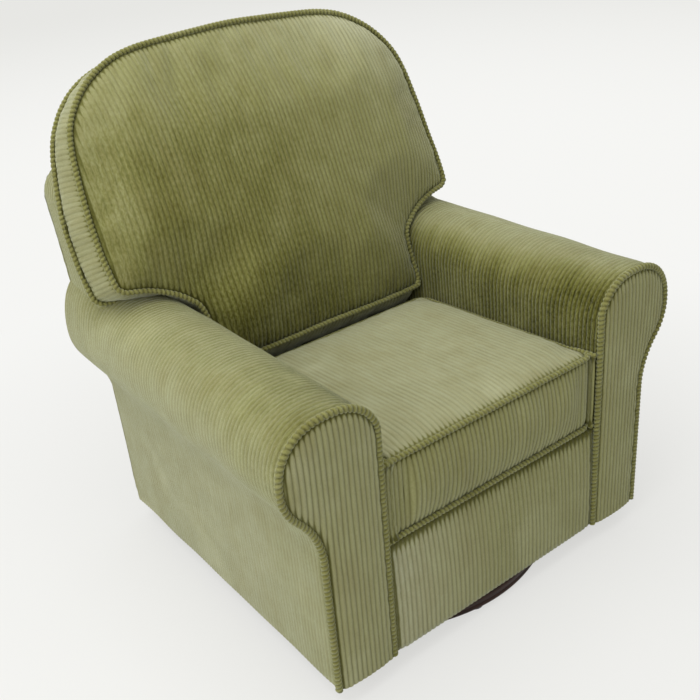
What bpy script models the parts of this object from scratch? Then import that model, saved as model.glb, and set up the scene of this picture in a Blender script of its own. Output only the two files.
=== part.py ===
"""A swivel glider chair, upholstered in wide corduroy, as the separate pieces that it comes apart into.

Metres, +Z up, the front towards -Y. The origin is on the floor, below the middle of the chair's box.
"""

import math

import bmesh
import bpy
from mathutils import Matrix, Vector

# Fits
FIT = 0.0003  # gap between pieces that touch
RUNNING_FIT = 0.0004  # radial gap of a shaft or pin in its bore
UNDER_GAP = 0.004  # gap between the wooden frame's feet and the lower edge of the covers

# Body of the chair
CHAIR_DEPTH = 0.79
CROSS_CLEARANCE = 0.0074  # from the base's cross up to the lower edge of the covers
SEAT_WIDTH = 0.495  # between the arms
DECK_TOP = 0.263

# Arms
ARM_TOP = 0.548
ROLL_RADIUS = 0.0905
ROLL_OVERHANG = 0.060  # of the roll beyond the arm's straight outer side
ROLL_SQUARENESS = 2.3  # 2 is a round roll
ROLL_UNDERCUT = math.radians(42)  # how far the roll turns in below its widest point
ROLL_STEPS = 18
HOLLOW_STEPS = 5
ARM_PAD = 0.014
FACING_THICKNESS = 0.012
FACING_ROUNDING = 0.004

# Seat cushion and front border
SEAT_CUSHION_HEIGHT = 0.150
SEAT_CROWN = 0.026
SEAT_CORNER = 0.024
CORNER_STEPS = 5
SIDE_STEPS = 6
SEAT_SIDE_GAP = 0.0015
SEAT_BACK_GAP = 0.003
SEAT_FRONT_SETBACK = 0.003
FRONT_BORDER_THICKNESS = 0.015
FRONT_BORDER_SETBACK = 0.003

# Back cushion: its front seam lies in a leaning plane, measured up from the foot of that plane
BACK_LEAN = math.radians(22.4)
BACK_REACH = 0.319  # from the foot of the back cushion to the rear of the chair
BACK_FOOT_RISE = 0.0047  # above the seat cushion's upper seam
BACK_LENGTH = 0.592
BACK_BORDER = 0.068
BACK_CROWN = 0.040
STEM_SIDE_GAP = 0.004  # to the arm on either side
NECK_FLARE = 0.005
NECK_DROP = 0.057  # from the ears' underside down to the neck
EAR_CLEARANCE = 0.006  # above the arm
EAR_INSET = 0.012  # from the side of the back frame
EAR_ROUNDING = 0.016
EAR_ROOT = 0.0425  # from the stem to where the ear's underside turns outwards
SHOULDER_RISE = 0.400
SHOULDER_DRAW = 0.009  # how far the sides draw in from the ears to the shoulders
SHOULDER_STEPS = 4
TOP_RUN = 0.165  # half the length of the nearly straight top edge
TOP_DROP = 0.008
LINE_STEPS = 2  # points in each stretch of the outline

# Stuffing of both cushions
CROWN_RUN = 0.075  # how soon the crown rises from the seam
CROWN_SHARES = (0.15, 0.38, 0.58, 0.74, 0.86, 0.94, 0.98)  # rings from the middle out to the seam
BORDER_BOW = 1.004
SEAM_BLUR = 0.004
BACK_MIDDLE = 0.54  # share of the back's length where its rings are centred

# Padded back frame behind the cushion
BACK_FRAME_TOP = 0.760
BACK_FRAME_INSET = 0.0305  # from the outer side of the arm's roll
BACK_FRAME_CORNER = 0.050
BACK_FRAME_CORNER_STEPS = 6
BACK_PANEL = 0.012
REAR_SWEEP = 0.075  # how far the rear leans out from foot to top
REAR_BENDS = 8

# Wooden frame
SIDE_RAIL_THICKNESS = 0.017
SIDE_RAIL_DROP = 0.010  # below the front rail's top
RAIL_THICKNESS = 0.020
BACK_RAIL_HEIGHT = 0.105
SPRING_RAIL_HEIGHT = 0.025
ARM_POST_THICKNESS = 0.018
POST_WIDTH = 0.030
POST_DEPTH = 0.045
POST_LAP = 0.030  # of the back posts down the side rails
TOP_RAIL_HEIGHT = 0.046
TOP_RAIL_DEPTH = 0.025
FRAME_SETBACK = 0.030  # rear rail and rear arm posts in front of the outside back

# Springs and deck
SPRING_WIRE = 0.0020  # radius
SPRING_COUNT = 3
SPRING_MARGIN = 0.0975  # from the arm to the middle of the outer spring
SPRING_SWING = 0.024
SPRING_WAVES = 9
SPRING_POINTS = 8  # points in a wave
DECK_THICKNESS = 0.008

# Base
AXIS_Y = -0.057  # swivel axis
RING_RADIUS = 0.330
RING_WIDTH = 0.045
RING_THICKNESS = 0.022
RING_ROUNDING = 0.005
RING_ROUNDING_STEPS = 3
GLIDE_HEIGHT = 0.006
GLIDE_RADIUS = 0.017
GLIDE_STEM = 0.004
GLIDE_COUNT = 4
BASE_TURN = math.radians(37.5)  # of the ring and its cross below the chair, as photographed
CROSS_WIDTH = 0.050
CROSS_THICKNESS = 0.004
CROSS_OVERHANG = 0.008  # how far the cross stops short of the ring's outer edge

# Swivel bearing
RACE_OUTER = 0.075
RACE_INNER = 0.045
RACE_THICKNESS = 0.005
BEARING_OUTER = 0.069
BEARING_INNER = 0.051
BEARING_THICKNESS = 0.005
RACE_GROOVE = 0.001
PIVOT_BOLT = 0.008  # radius
PIVOT_HEAD = 0.014
PIVOT_HEAD_HEIGHT = 0.006

# Turntable
PLATE_MARGIN = 0.0325  # of the swivel plate beyond the cross tubes
PLATE_THICKNESS = 0.003
TUBE_SIDE = 0.025
TUBE_WALL = 0.002
TUBE_OFFSET = 0.075  # from the swivel axis
SIDE_PLATE = 0.004
SIDE_PLATE_END = 0.023  # of metal beyond the upper pivots
SIDE_PLATE_TOE = 0.0085  # of metal beyond the cross tubes
SIDE_PLATE_MARGIN = 0.016  # of metal above the upper pivots
SIDE_PLATE_EAR = 0.030  # height of the plate's ends

# Glide linkage
PIVOT_SPAN = 0.120  # from the swivel axis to each pivot
PIVOT_RISE = 0.140  # of the upper pivots above the foot of the side plates
LINK_LENGTH = 0.110
LINK_THICKNESS = 0.005
LINK_END = 0.012  # radius
LINK_END_STEPS = 8
SHAFT_RADIUS = 0.006
BUSH_WALL = 0.003
BUSH_FLANGE = 0.0035  # beyond the wall
BUSH_FLANGE_THICKNESS = 0.001
PIN_RADIUS = 0.005
PIN_HEAD = 0.009
PIN_HEAD_HEIGHT = 0.004
PIN_COLLAR = 0.003  # length of the collar between link and rail

# Carriage rails, of Z section
CARRIAGE_WALL = 0.003
CARRIAGE_DROP = 0.016  # of metal round the pin
CARRIAGE_RISE = 0.046
CARRIAGE_WIDTH = 0.045
CARRIAGE_OVERHANG = 0.040  # beyond the pins

# Smoothness of round pieces
ROUND_STEPS = 24
RING_STEPS = 64
MERGE = 0.00001  # points closer than this are one point

# Heights of the base, from the floor up
RING_Z = GLIDE_HEIGHT + FIT
CROSS_Z = RING_Z + RING_THICKNESS + FIT
LOWER_RACE_Z = CROSS_Z + CROSS_THICKNESS + FIT
BEARING_Z = LOWER_RACE_Z + RACE_THICKNESS - RACE_GROOVE + FIT
UPPER_RACE_Z = BEARING_Z + BEARING_THICKNESS - RACE_GROOVE + FIT
PLATE_Z = UPPER_RACE_Z + RACE_THICKNESS + FIT
TUBE_Z = PLATE_Z + PLATE_THICKNESS + FIT
UPPER_PIVOT_Z = TUBE_Z + PIVOT_RISE
LOWER_PIVOT_Z = UPPER_PIVOT_Z - LINK_LENGTH

# Places in the body of the chair
FRONT_Y = -CHAIR_DEPTH / 2
REAR_Y = CHAIR_DEPTH / 2
CHAIR_BOTTOM = CROSS_Z + CROSS_THICKNESS + CROSS_CLEARANCE
FRAME_FOOT = CHAIR_BOTTOM + UNDER_GAP
ARM_INNER_X = SEAT_WIDTH / 2
ARM_OUTER_X = ARM_INNER_X + 2 * ROLL_RADIUS - ROLL_OVERHANG
ROLL_X = ARM_INNER_X + ROLL_RADIUS
ROLL_Z = ARM_TOP - ROLL_RADIUS
ARM_FRONT_Y = FRONT_Y + FACING_THICKNESS + FIT
SPRING_Z = DECK_TOP - DECK_THICKNESS - FIT - SPRING_WIRE
SPRING_SPACING = (SEAT_WIDTH - 2 * SPRING_MARGIN) / (SPRING_COUNT - 1)
RAIL_TOP = SPRING_Z - SPRING_WIRE - FIT
SIDE_RAIL_TOP = RAIL_TOP - SIDE_RAIL_DROP
BORDER_FRONT_Y = FRONT_Y + FRONT_BORDER_SETBACK
FRONT_RAIL_Y = BORDER_FRONT_Y + FRONT_BORDER_THICKNESS + FIT
SEAT_FOOT_Z = DECK_TOP + FIT
SEAT_SEAM_Z = SEAT_FOOT_Z + SEAT_CUSHION_HEIGHT
BACK_FOOT_Y = REAR_Y - BACK_REACH
BACK_FOOT_Z = SEAT_SEAM_Z + BACK_FOOT_RISE
SEAT_REAR_Y = BACK_FOOT_Y - SEAT_BACK_GAP
SPRING_RAIL_Y = SEAT_REAR_Y - RAIL_THICKNESS - UNDER_GAP * 2
BACK_FRAME_HALF_WIDTH = ROLL_X + ROLL_RADIUS - BACK_FRAME_INSET
STEM_HALF_WIDTH = ARM_INNER_X - STEM_SIDE_GAP
EAR_HALF_WIDTH = BACK_FRAME_HALF_WIDTH - EAR_INSET
EAR_BOTTOM_Z = ARM_TOP + EAR_CLEARANCE
EAR_RISE = (EAR_BOTTOM_Z - BACK_FOOT_Z + BACK_BORDER * math.sin(BACK_LEAN)) / math.cos(BACK_LEAN)
POST_FOOT_RISE = (SIDE_RAIL_TOP - POST_LAP - BACK_FOOT_Z) / math.cos(BACK_LEAN)

# Places across the linkage, from the seat's side inwards
CARRIAGE_OUTER_X = ARM_INNER_X - FIT
CARRIAGE_INNER_X = CARRIAGE_OUTER_X - CARRIAGE_WIDTH
LINK_OUTER_X = CARRIAGE_INNER_X - PIN_COLLAR - FIT * 2
LINK_INNER_X = LINK_OUTER_X - LINK_THICKNESS
SIDE_PLATE_OUTER_X = LINK_INNER_X - BUSH_FLANGE_THICKNESS - FIT * 2
SIDE_PLATE_INNER_X = SIDE_PLATE_OUTER_X - SIDE_PLATE
TUBE_REACH = TUBE_OFFSET + TUBE_SIDE / 2

# Planes of the flat pieces: how a piece drawn flat in X and Y stands in the chair
FACING_X = Matrix(((0, 0, 1), (1, 0, 0), (0, 1, 0))).to_4x4()  # drawn in Y and Z
FACING_Y = Matrix(((1, 0, 0), (0, 0, -1), (0, 1, 0))).to_4x4()  # drawn in X and Z
ALONG_X = Matrix.Rotation(math.pi / 2, 4, "Y")

# Colour, roughness and metallic value of each finish
FINISHES = {
    "corduroy": ((0.25, 0.24, 0.11, 1), 0.90, 0.0),
    "stained_wood": ((0.055, 0.022, 0.014, 1), 0.45, 0.0),
    "frame_wood": ((0.55, 0.40, 0.23, 1), 0.70, 0.0),
    "black_steel": ((0.03, 0.03, 0.03, 1), 0.45, 0.9),
    "bright_steel": ((0.60, 0.60, 0.58, 1), 0.30, 1.0),
    "nylon": ((0.80, 0.78, 0.70, 1), 0.50, 0.0),
    "glide_plastic": ((0.03, 0.02, 0.02, 1), 0.55, 0.0),
    "deck_cloth": ((0.62, 0.58, 0.48, 1), 0.95, 0.0),
}


def new_collection(name):
    collection = bpy.data.collections.new(name)
    bpy.context.scene.collection.children.link(collection)
    return collection


def empty_at(name, place):
    """An empty on a joint's axis, which carries the pieces of one moving body."""
    empty = bpy.data.objects.new(name, None)
    empty.location = place
    chair.objects.link(empty)
    bpy.context.view_layer.update()
    return empty


def add_piece(name, mesh, finish, body, place=Matrix.Identity(4)):
    """One sub-part in the chair's collection, with its own material, carried by its body's empty."""
    color, roughness, metallic = FINISHES[finish]
    material = bpy.data.materials.new(name)
    material.use_nodes = True
    shader = material.node_tree.nodes["Principled BSDF"]
    shader.inputs["Base Color"].default_value = color
    shader.inputs["Roughness"].default_value = roughness
    shader.inputs["Metallic"].default_value = metallic
    mesh.materials.clear()
    mesh.materials.append(material)
    piece = bpy.data.objects.new(name, mesh)
    chair.objects.link(piece)
    piece.parent = body
    piece.matrix_parent_inverse = body.matrix_world.inverted()
    piece.matrix_basis = place
    return piece


def mesh_from(form, name):
    bmesh.ops.recalc_face_normals(form, faces=form.faces)
    mesh = bpy.data.meshes.new(name)
    form.to_mesh(mesh)
    form.free()
    return mesh


def box_mesh(name, low, high):
    form = bmesh.new()
    bmesh.ops.create_cube(form, size=1)
    size = Vector(high) - Vector(low)
    bmesh.ops.scale(form, vec=size, verts=form.verts)
    bmesh.ops.translate(form, vec=Vector(low) + size / 2, verts=form.verts)
    return mesh_from(form, name)


def flat_form(outlines, thickness, rounding=0.0):
    """A flat plate round the middle of its thickness: the first outline is its edge, the others are holes."""
    curve = bpy.data.curves.new("outline", "CURVE")
    curve.dimensions = "2D"
    curve.fill_mode = "BOTH"
    curve.extrude = thickness / 2 - rounding
    curve.bevel_depth = rounding
    curve.bevel_resolution = 1
    curve.offset = -rounding
    for outline in outlines:
        spline = curve.splines.new("POLY")
        spline.points.add(len(outline) - 1)
        for point, (across, up) in zip(spline.points, outline):
            point.co = (across, up, 0, 1)
        spline.use_cyclic_u = True
    drawing = bpy.data.objects.new("outline", curve)
    bpy.context.scene.collection.objects.link(drawing)
    depsgraph = bpy.context.evaluated_depsgraph_get()
    mesh = bpy.data.meshes.new_from_object(drawing.evaluated_get(depsgraph))
    bpy.data.objects.remove(drawing)
    form = bmesh.new()
    form.from_mesh(mesh)
    bpy.data.meshes.remove(mesh)
    bmesh.ops.remove_doubles(form, verts=form.verts, dist=MERGE)
    return form


def flat_mesh(name, outlines, thickness, rounding=0.0):
    return mesh_from(flat_form(outlines, thickness, rounding), name)


def circle(middle, radius, steps=ROUND_STEPS):
    turns = [math.tau * step / steps for step in range(steps)]
    return [(middle[0] + radius * math.cos(t), middle[1] + radius * math.sin(t)) for t in turns]


def add_turned(name, section, finish, body, place, steps=ROUND_STEPS, ring=False):
    """A turned piece: a section of radius and height, run down its outer side and spun about its own Z."""
    mesh = bpy.data.meshes.new(name)
    points = [(radius, 0, height) for radius, height in section]
    edges = [(i, i + 1) for i in range(len(points) - 1)]
    if ring:
        edges.append((len(points) - 1, 0))
    mesh.from_pydata(points, edges, [])
    piece = add_piece(name, mesh, finish, body, place)
    spin = piece.modifiers.new("Screw", "SCREW")
    spin.steps = steps
    spin.render_steps = steps
    spin.use_merge_vertices = True
    spin.merge_threshold = MERGE
    return piece


def drill(piece, name, place, radius, depth):
    """A round hole in a piece, about the Z axis of a place and half its depth to either side."""
    form = bmesh.new()
    bmesh.ops.create_cone(
        form, cap_ends=True, segments=ROUND_STEPS, radius1=radius, radius2=radius, depth=depth
    )
    cutter = bpy.data.objects.new(name, mesh_from(form, name))
    cutter.matrix_world = place
    cutter.hide_render = True
    cutter.display_type = "WIRE"
    cutters.objects.link(cutter)
    cut = piece.modifiers.new(name, "BOOLEAN")
    cut.object = cutter


def ring_section(inner, outer, low, high):
    return [(inner, high), (outer, high), (outer, low), (inner, low)]


def lofted_mesh(name, rings):
    """A closed form through rings of equal count, whose first and last rings are filled by a middle point."""
    form = bmesh.new()
    loops = [[form.verts.new(point) for point in ring] for ring in rings]
    count = len(rings[0])
    for lower, upper in zip(loops, loops[1:]):
        for i in range(count):
            j = (i + 1) % count
            form.faces.new((lower[i], lower[j], upper[j], upper[i]))
    for loop in (loops[0], loops[-1]):
        middle = form.verts.new(sum((v.co for v in loop), Vector()) / count)
        for i in range(count):
            form.faces.new((loop[i], loop[(i + 1) % count], middle))
    return mesh_from(form, name)


def add_shell(name, form, thickness):
    """A padded cover: an open surface, thickened inwards from its outer face."""
    mesh = bpy.data.meshes.new(name)
    form.to_mesh(mesh)
    form.free()
    piece = add_piece(name, mesh, "corduroy", body)
    wall = piece.modifiers.new("Solidify", "SOLIDIFY")
    wall.thickness = thickness
    wall.offset = -1
    wall.use_even_offset = True


def rear_y(height):
    """The rear face of the outside back, which sweeps out towards its top."""
    share = (height - CHAIR_BOTTOM) / (BACK_FRAME_TOP - CHAIR_BOTTOM)
    return REAR_Y - REAR_SWEEP * (1 - share**3)


def back_place():
    """The back's own frame: X across, Y behind the cushion's front seam, Z up along the lean."""
    foot = Matrix.Translation((0, BACK_FOOT_Y, BACK_FOOT_Z))
    return foot @ Matrix.Rotation(-BACK_LEAN, 4, "X")


def behind_cushion_y(height):
    """Where the flat rear of the back cushion stands at a height."""
    foot_y = BACK_FOOT_Y + BACK_BORDER / math.cos(BACK_LEAN)
    return foot_y + (height - BACK_FOOT_Z) * math.tan(BACK_LEAN)


def roll_top(across):
    """Height of the arm's roll at a distance from the chair's middle plane."""
    share = abs(across - ROLL_X) / ROLL_RADIUS
    return ROLL_Z + ROLL_RADIUS * (1 - share**ROLL_SQUARENESS) ** (1 / ROLL_SQUARENESS)


def roll_arc(inset, first_turn, last_turn, steps):
    """The right arm's roll, from the turn at its inner side, pi, over its top and under its outer side."""
    radius = ROLL_RADIUS - inset
    power = 2 / ROLL_SQUARENESS
    points = []
    for step in range(steps + 1):
        turn = first_turn + (last_turn - first_turn) * step / steps
        across, up = math.cos(turn), math.sin(turn)
        if up > 0:
            across = math.copysign(abs(across) ** power, across)
            up = up**power
        points.append((ROLL_X + radius * across, ROLL_Z + radius * up))
    return points


def hollow_arc(inset):
    """The hollow below the roll, from the roll down to the arm's straight outer side."""
    start_x = ROLL_X + (ROLL_RADIUS - inset) * math.cos(ROLL_UNDERCUT)
    start_z = ROLL_Z - (ROLL_RADIUS - inset) * math.sin(ROLL_UNDERCUT)
    radius = (start_x - ARM_OUTER_X + inset) / (1 - math.cos(ROLL_UNDERCUT))
    middle_x = start_x + radius * math.cos(ROLL_UNDERCUT)
    middle_z = start_z - radius * math.sin(ROLL_UNDERCUT)
    points = []
    for step in range(1, HOLLOW_STEPS + 1):
        turn = math.pi - ROLL_UNDERCUT * (1 - step / HOLLOW_STEPS)
        points.append((middle_x + radius * math.cos(turn), middle_z + radius * math.sin(turn)))
    return points


def arm_top_line(inset):
    """The roll and the hollow together, from the inner side to the outer side."""
    return roll_arc(inset, math.pi, -ROLL_UNDERCUT, ROLL_STEPS) + hollow_arc(inset)


def arm_outline(inset, foot):
    """The whole section of the right arm, in X and Z."""
    feet = [(ARM_OUTER_X - inset, foot), (ARM_INNER_X + inset, foot)]
    return arm_top_line(inset) + feet


def mirrored(outline, side):
    return [(side * across, up) for across, up in outline]


def make_base():
    """The ring on its four glides, with the steel cross that holds the swivel."""
    axis = Matrix.Translation((0, AXIS_Y, 0))
    inner = RING_RADIUS - RING_WIDTH
    ring_top = RING_Z + RING_THICKNESS
    r = RING_ROUNDING
    turns = [math.pi / 2 * (1 - step / RING_ROUNDING_STEPS) for step in range(RING_ROUNDING_STEPS + 1)]
    rim = [(RING_RADIUS - r + r * math.cos(t), ring_top - r + r * math.sin(t)) for t in turns]
    section = [(inner, ring_top), *rim, (RING_RADIUS, RING_Z), (inner, RING_Z)]
    ring = add_turned("base_ring", section, "stained_wood", base, axis, RING_STEPS, ring=True)
    stem_circle = RING_RADIUS - RING_WIDTH / 2
    stem_top = CROSS_Z + CROSS_THICKNESS
    first_turn = math.pi / GLIDE_COUNT + BASE_TURN
    for number in range(GLIDE_COUNT):
        turn = first_turn + math.tau * number / GLIDE_COUNT
        foot = Vector((stem_circle * math.cos(turn), AXIS_Y + stem_circle * math.sin(turn), 0))
        hole = Matrix.Translation(foot + Vector((0, 0, RING_Z + RING_THICKNESS / 2)))
        drill(ring, f"stem_hole_{number + 1}", hole, GLIDE_STEM + FIT, RING_THICKNESS * 2)
        section = [(0, stem_top), (GLIDE_STEM, stem_top), (GLIDE_STEM, GLIDE_HEIGHT)]
        section += [(GLIDE_RADIUS, GLIDE_HEIGHT), (GLIDE_RADIUS, 0), (0, 0)]
        glide = f"floor_glide_{number + 1}"
        add_turned(glide, section, "glide_plastic", base, Matrix.Translation(foot))

    half = CROSS_WIDTH / 2
    reach = RING_RADIUS - CROSS_OVERHANG
    arm = [(reach, -half), (reach, half), (half, half)]
    outline = []
    holes = [circle((0, 0), PIVOT_BOLT + FIT)]
    for number in range(GLIDE_COUNT):
        turn = Matrix.Rotation(math.tau * number / GLIDE_COUNT, 2)
        outline += [tuple(turn @ Vector(point)) for point in arm]
        holes.append(circle(turn @ Vector((stem_circle, 0)), GLIDE_STEM + FIT))
    mesh = flat_mesh("base_cross", [outline, *holes], CROSS_THICKNESS)
    lift = Matrix.Translation((0, AXIS_Y, CROSS_Z + CROSS_THICKNESS / 2))
    first_arm = Matrix.Rotation(first_turn, 4, "Z")
    add_piece("base_cross", mesh, "black_steel", base, lift @ first_arm)

    section = ring_section(RACE_INNER, RACE_OUTER, LOWER_RACE_Z, LOWER_RACE_Z + RACE_THICKNESS)
    groove = LOWER_RACE_Z + RACE_THICKNESS - RACE_GROOVE
    top = LOWER_RACE_Z + RACE_THICKNESS
    wide, narrow = BEARING_OUTER + FIT * 2, BEARING_INNER - FIT * 2
    section[1:1] = [(narrow, top), (narrow, groove), (wide, groove), (wide, top)]
    add_turned("lower_race", section, "bright_steel", base, axis, ROUND_STEPS * 2, ring=True)

    bolt_top = PLATE_Z + PLATE_THICKNESS + FIT + PIVOT_HEAD_HEIGHT
    bolt_foot = CROSS_Z - FIT
    section = [(0, bolt_top), (PIVOT_HEAD, bolt_top), (PIVOT_HEAD, bolt_top - PIVOT_HEAD_HEIGHT)]
    section += [(PIVOT_BOLT, bolt_top - PIVOT_HEAD_HEIGHT), (PIVOT_BOLT, bolt_foot)]
    section += [(PIVOT_HEAD, bolt_foot), (PIVOT_HEAD, bolt_foot - PIVOT_HEAD_HEIGHT)]
    section += [(0, bolt_foot - PIVOT_HEAD_HEIGHT)]
    add_turned("pivot_bolt", section, "bright_steel", base, axis)


def make_turntable():
    """The plate that turns on the bearing, and the steel frame that the links hang from."""
    axis = Matrix.Translation((0, AXIS_Y, 0))
    section = ring_section(BEARING_INNER, BEARING_OUTER, BEARING_Z, BEARING_Z + BEARING_THICKNESS)
    add_turned("bearing_ring", section, "nylon", turntable, axis, ROUND_STEPS * 2, ring=True)
    section = ring_section(RACE_INNER, RACE_OUTER, UPPER_RACE_Z, UPPER_RACE_Z + RACE_THICKNESS)
    groove = UPPER_RACE_Z + RACE_GROOVE
    wide, narrow = BEARING_OUTER + FIT * 2, BEARING_INNER - FIT * 2
    section[3:3] = [(wide, UPPER_RACE_Z), (wide, groove), (narrow, groove), (narrow, UPPER_RACE_Z)]
    add_turned("upper_race", section, "bright_steel", turntable, axis, ROUND_STEPS * 2, ring=True)

    h = TUBE_REACH + PLATE_MARGIN
    square = [(-h, -h), (h, -h), (h, h), (-h, h)]
    mesh = flat_mesh("swivel_plate", [square, circle((0, 0), PIVOT_BOLT + RUNNING_FIT)], PLATE_THICKNESS)
    lift = Matrix.Translation((0, AXIS_Y, PLATE_Z + PLATE_THICKNESS / 2))
    add_piece("swivel_plate", mesh, "black_steel", turntable, lift)

    outer, inner = TUBE_SIDE / 2, TUBE_SIDE / 2 - TUBE_WALL
    walls = [[(-s, -s), (s, -s), (s, s), (-s, s)] for s in (outer, inner)]
    for name, toward in (("front", -1), ("rear", 1)):
        length = 2 * (SIDE_PLATE_INNER_X - FIT)
        mesh = flat_mesh(f"{name}_cross_tube", walls, length)
        middle = Matrix.Translation((0, AXIS_Y + toward * TUBE_OFFSET, TUBE_Z + outer))
        add_piece(f"{name}_cross_tube", mesh, "black_steel", turntable, middle @ FACING_X)

    top = UPPER_PIVOT_Z + SIDE_PLATE_MARGIN
    foot = TUBE_Z
    ear = top - SIDE_PLATE_EAR
    reach = PIVOT_SPAN + SIDE_PLATE_END
    half = [(TUBE_REACH + SIDE_PLATE_TOE, foot), (reach, ear), (reach, top)]
    outline = half + [(-y, z) for y, z in reversed(half)]
    bush_radius = SHAFT_RADIUS + RUNNING_FIT + BUSH_WALL
    bores = [circle((y, UPPER_PIVOT_Z), bush_radius + FIT) for y in (-PIVOT_SPAN, PIVOT_SPAN)]
    flange = bush_radius + BUSH_FLANGE
    shoulder = SIDE_PLATE + FIT
    bush = [(SHAFT_RADIUS + RUNNING_FIT, shoulder + BUSH_FLANGE_THICKNESS)]
    bush += [(flange, shoulder + BUSH_FLANGE_THICKNESS), (flange, shoulder), (bush_radius, shoulder)]
    bush += [(bush_radius, 0), (SHAFT_RADIUS + RUNNING_FIT, 0)]
    for name, side in SIDES:
        mesh = flat_mesh(f"{name}_side_plate", [outline, *bores], SIDE_PLATE)
        middle = side * (SIDE_PLATE_INNER_X + SIDE_PLATE / 2)
        place = Matrix.Translation((middle, AXIS_Y, 0)) @ FACING_X
        add_piece(f"{name}_side_plate", mesh, "black_steel", turntable, place)
        turn = Matrix.Rotation(side * math.pi / 2, 4, "Y")
        for end, toward in ENDS:
            seat = (side * SIDE_PLATE_INNER_X, AXIS_Y + toward * PIVOT_SPAN, UPPER_PIVOT_Z)
            place = Matrix.Translation(seat) @ turn
            add_turned(f"{end}_{name}_pivot_bush", bush, "nylon", turntable, place, ring=True)


def make_links():
    """A rocker shaft at each end, with a link arm fixed on either end of it, hanging down to the pins."""
    arc = [math.pi * step / LINK_END_STEPS for step in range(LINK_END_STEPS + 1)]
    upper = [(LINK_END * math.cos(t), LINK_END * math.sin(t)) for t in arc]
    lower = [(-LINK_END * math.cos(t), -LINK_LENGTH - LINK_END * math.sin(t)) for t in arc]
    bores = [circle((0, 0), SHAFT_RADIUS + FIT), circle((0, -LINK_LENGTH), PIN_RADIUS + RUNNING_FIT)]
    for (end, toward), swing in zip(ENDS, (front_swing, rear_swing)):
        pivot_y = AXIS_Y + toward * PIVOT_SPAN
        reach = LINK_OUTER_X
        section = [(0, reach), (SHAFT_RADIUS, reach), (SHAFT_RADIUS, -reach), (0, -reach)]
        place = Matrix.Translation((0, pivot_y, UPPER_PIVOT_Z)) @ ALONG_X
        add_turned(f"{end}_rocker_shaft", section, "bright_steel", swing, place)
        for name, side in SIDES:
            mesh = flat_mesh(f"{end}_{name}_link", [upper + lower, *bores], LINK_THICKNESS)
            middle = (side * (LINK_INNER_X + LINK_THICKNESS / 2), pivot_y, UPPER_PIVOT_Z)
            add_piece(f"{end}_{name}_link", mesh, "black_steel", swing, Matrix.Translation(middle) @ FACING_X)


def make_carriage():
    """Rails of Z section that hang on the links' pins and are bolted to the wooden side rails."""
    w = CARRIAGE_WALL
    low = LOWER_PIVOT_Z - CARRIAGE_DROP
    web = LOWER_PIVOT_Z + CARRIAGE_DROP
    top = web + CARRIAGE_RISE
    inner, outer = CARRIAGE_INNER_X, CARRIAGE_OUTER_X
    section = [(inner, low), (inner + w, low), (inner + w, web - w), (outer, web - w), (outer, top)]
    section += [(outer - w, top), (outer - w, web), (inner, web)]
    length = 2 * (PIVOT_SPAN + CARRIAGE_OVERHANG)
    pin = [(0, inner + w + FIT + PIN_HEAD_HEIGHT), (PIN_HEAD, inner + w + FIT + PIN_HEAD_HEIGHT)]
    pin += [(PIN_HEAD, inner + w + FIT), (PIN_RADIUS, inner + w + FIT), (PIN_RADIUS, inner - FIT)]
    pin += [(PIN_HEAD, inner - FIT), (PIN_HEAD, LINK_OUTER_X + FIT), (PIN_RADIUS, LINK_OUTER_X + FIT)]
    pin += [(PIN_RADIUS, LINK_INNER_X), (0, LINK_INNER_X)]
    for name, side in SIDES:
        mesh = flat_mesh(f"{name}_carriage_rail", [mirrored(section, side)], length)
        place = Matrix.Translation((0, AXIS_Y, 0)) @ FACING_Y
        rail = add_piece(f"{name}_carriage_rail", mesh, "black_steel", body, place)
        for end, toward in ENDS:
            pivot = Vector((0, AXIS_Y + toward * PIVOT_SPAN, LOWER_PIVOT_Z))
            turn = Matrix.Rotation(side * math.pi / 2, 4, "Y")
            add_turned(f"{end}_{name}_link_pin", pin, "bright_steel", body, Matrix.Translation(pivot) @ turn)
            hole = Matrix.Translation(pivot + Vector((side * (inner + w / 2), 0, 0))) @ turn
            drill(rail, f"{end}_{name}_pin_hole", hole, PIN_RADIUS + FIT, w * 3)


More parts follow.
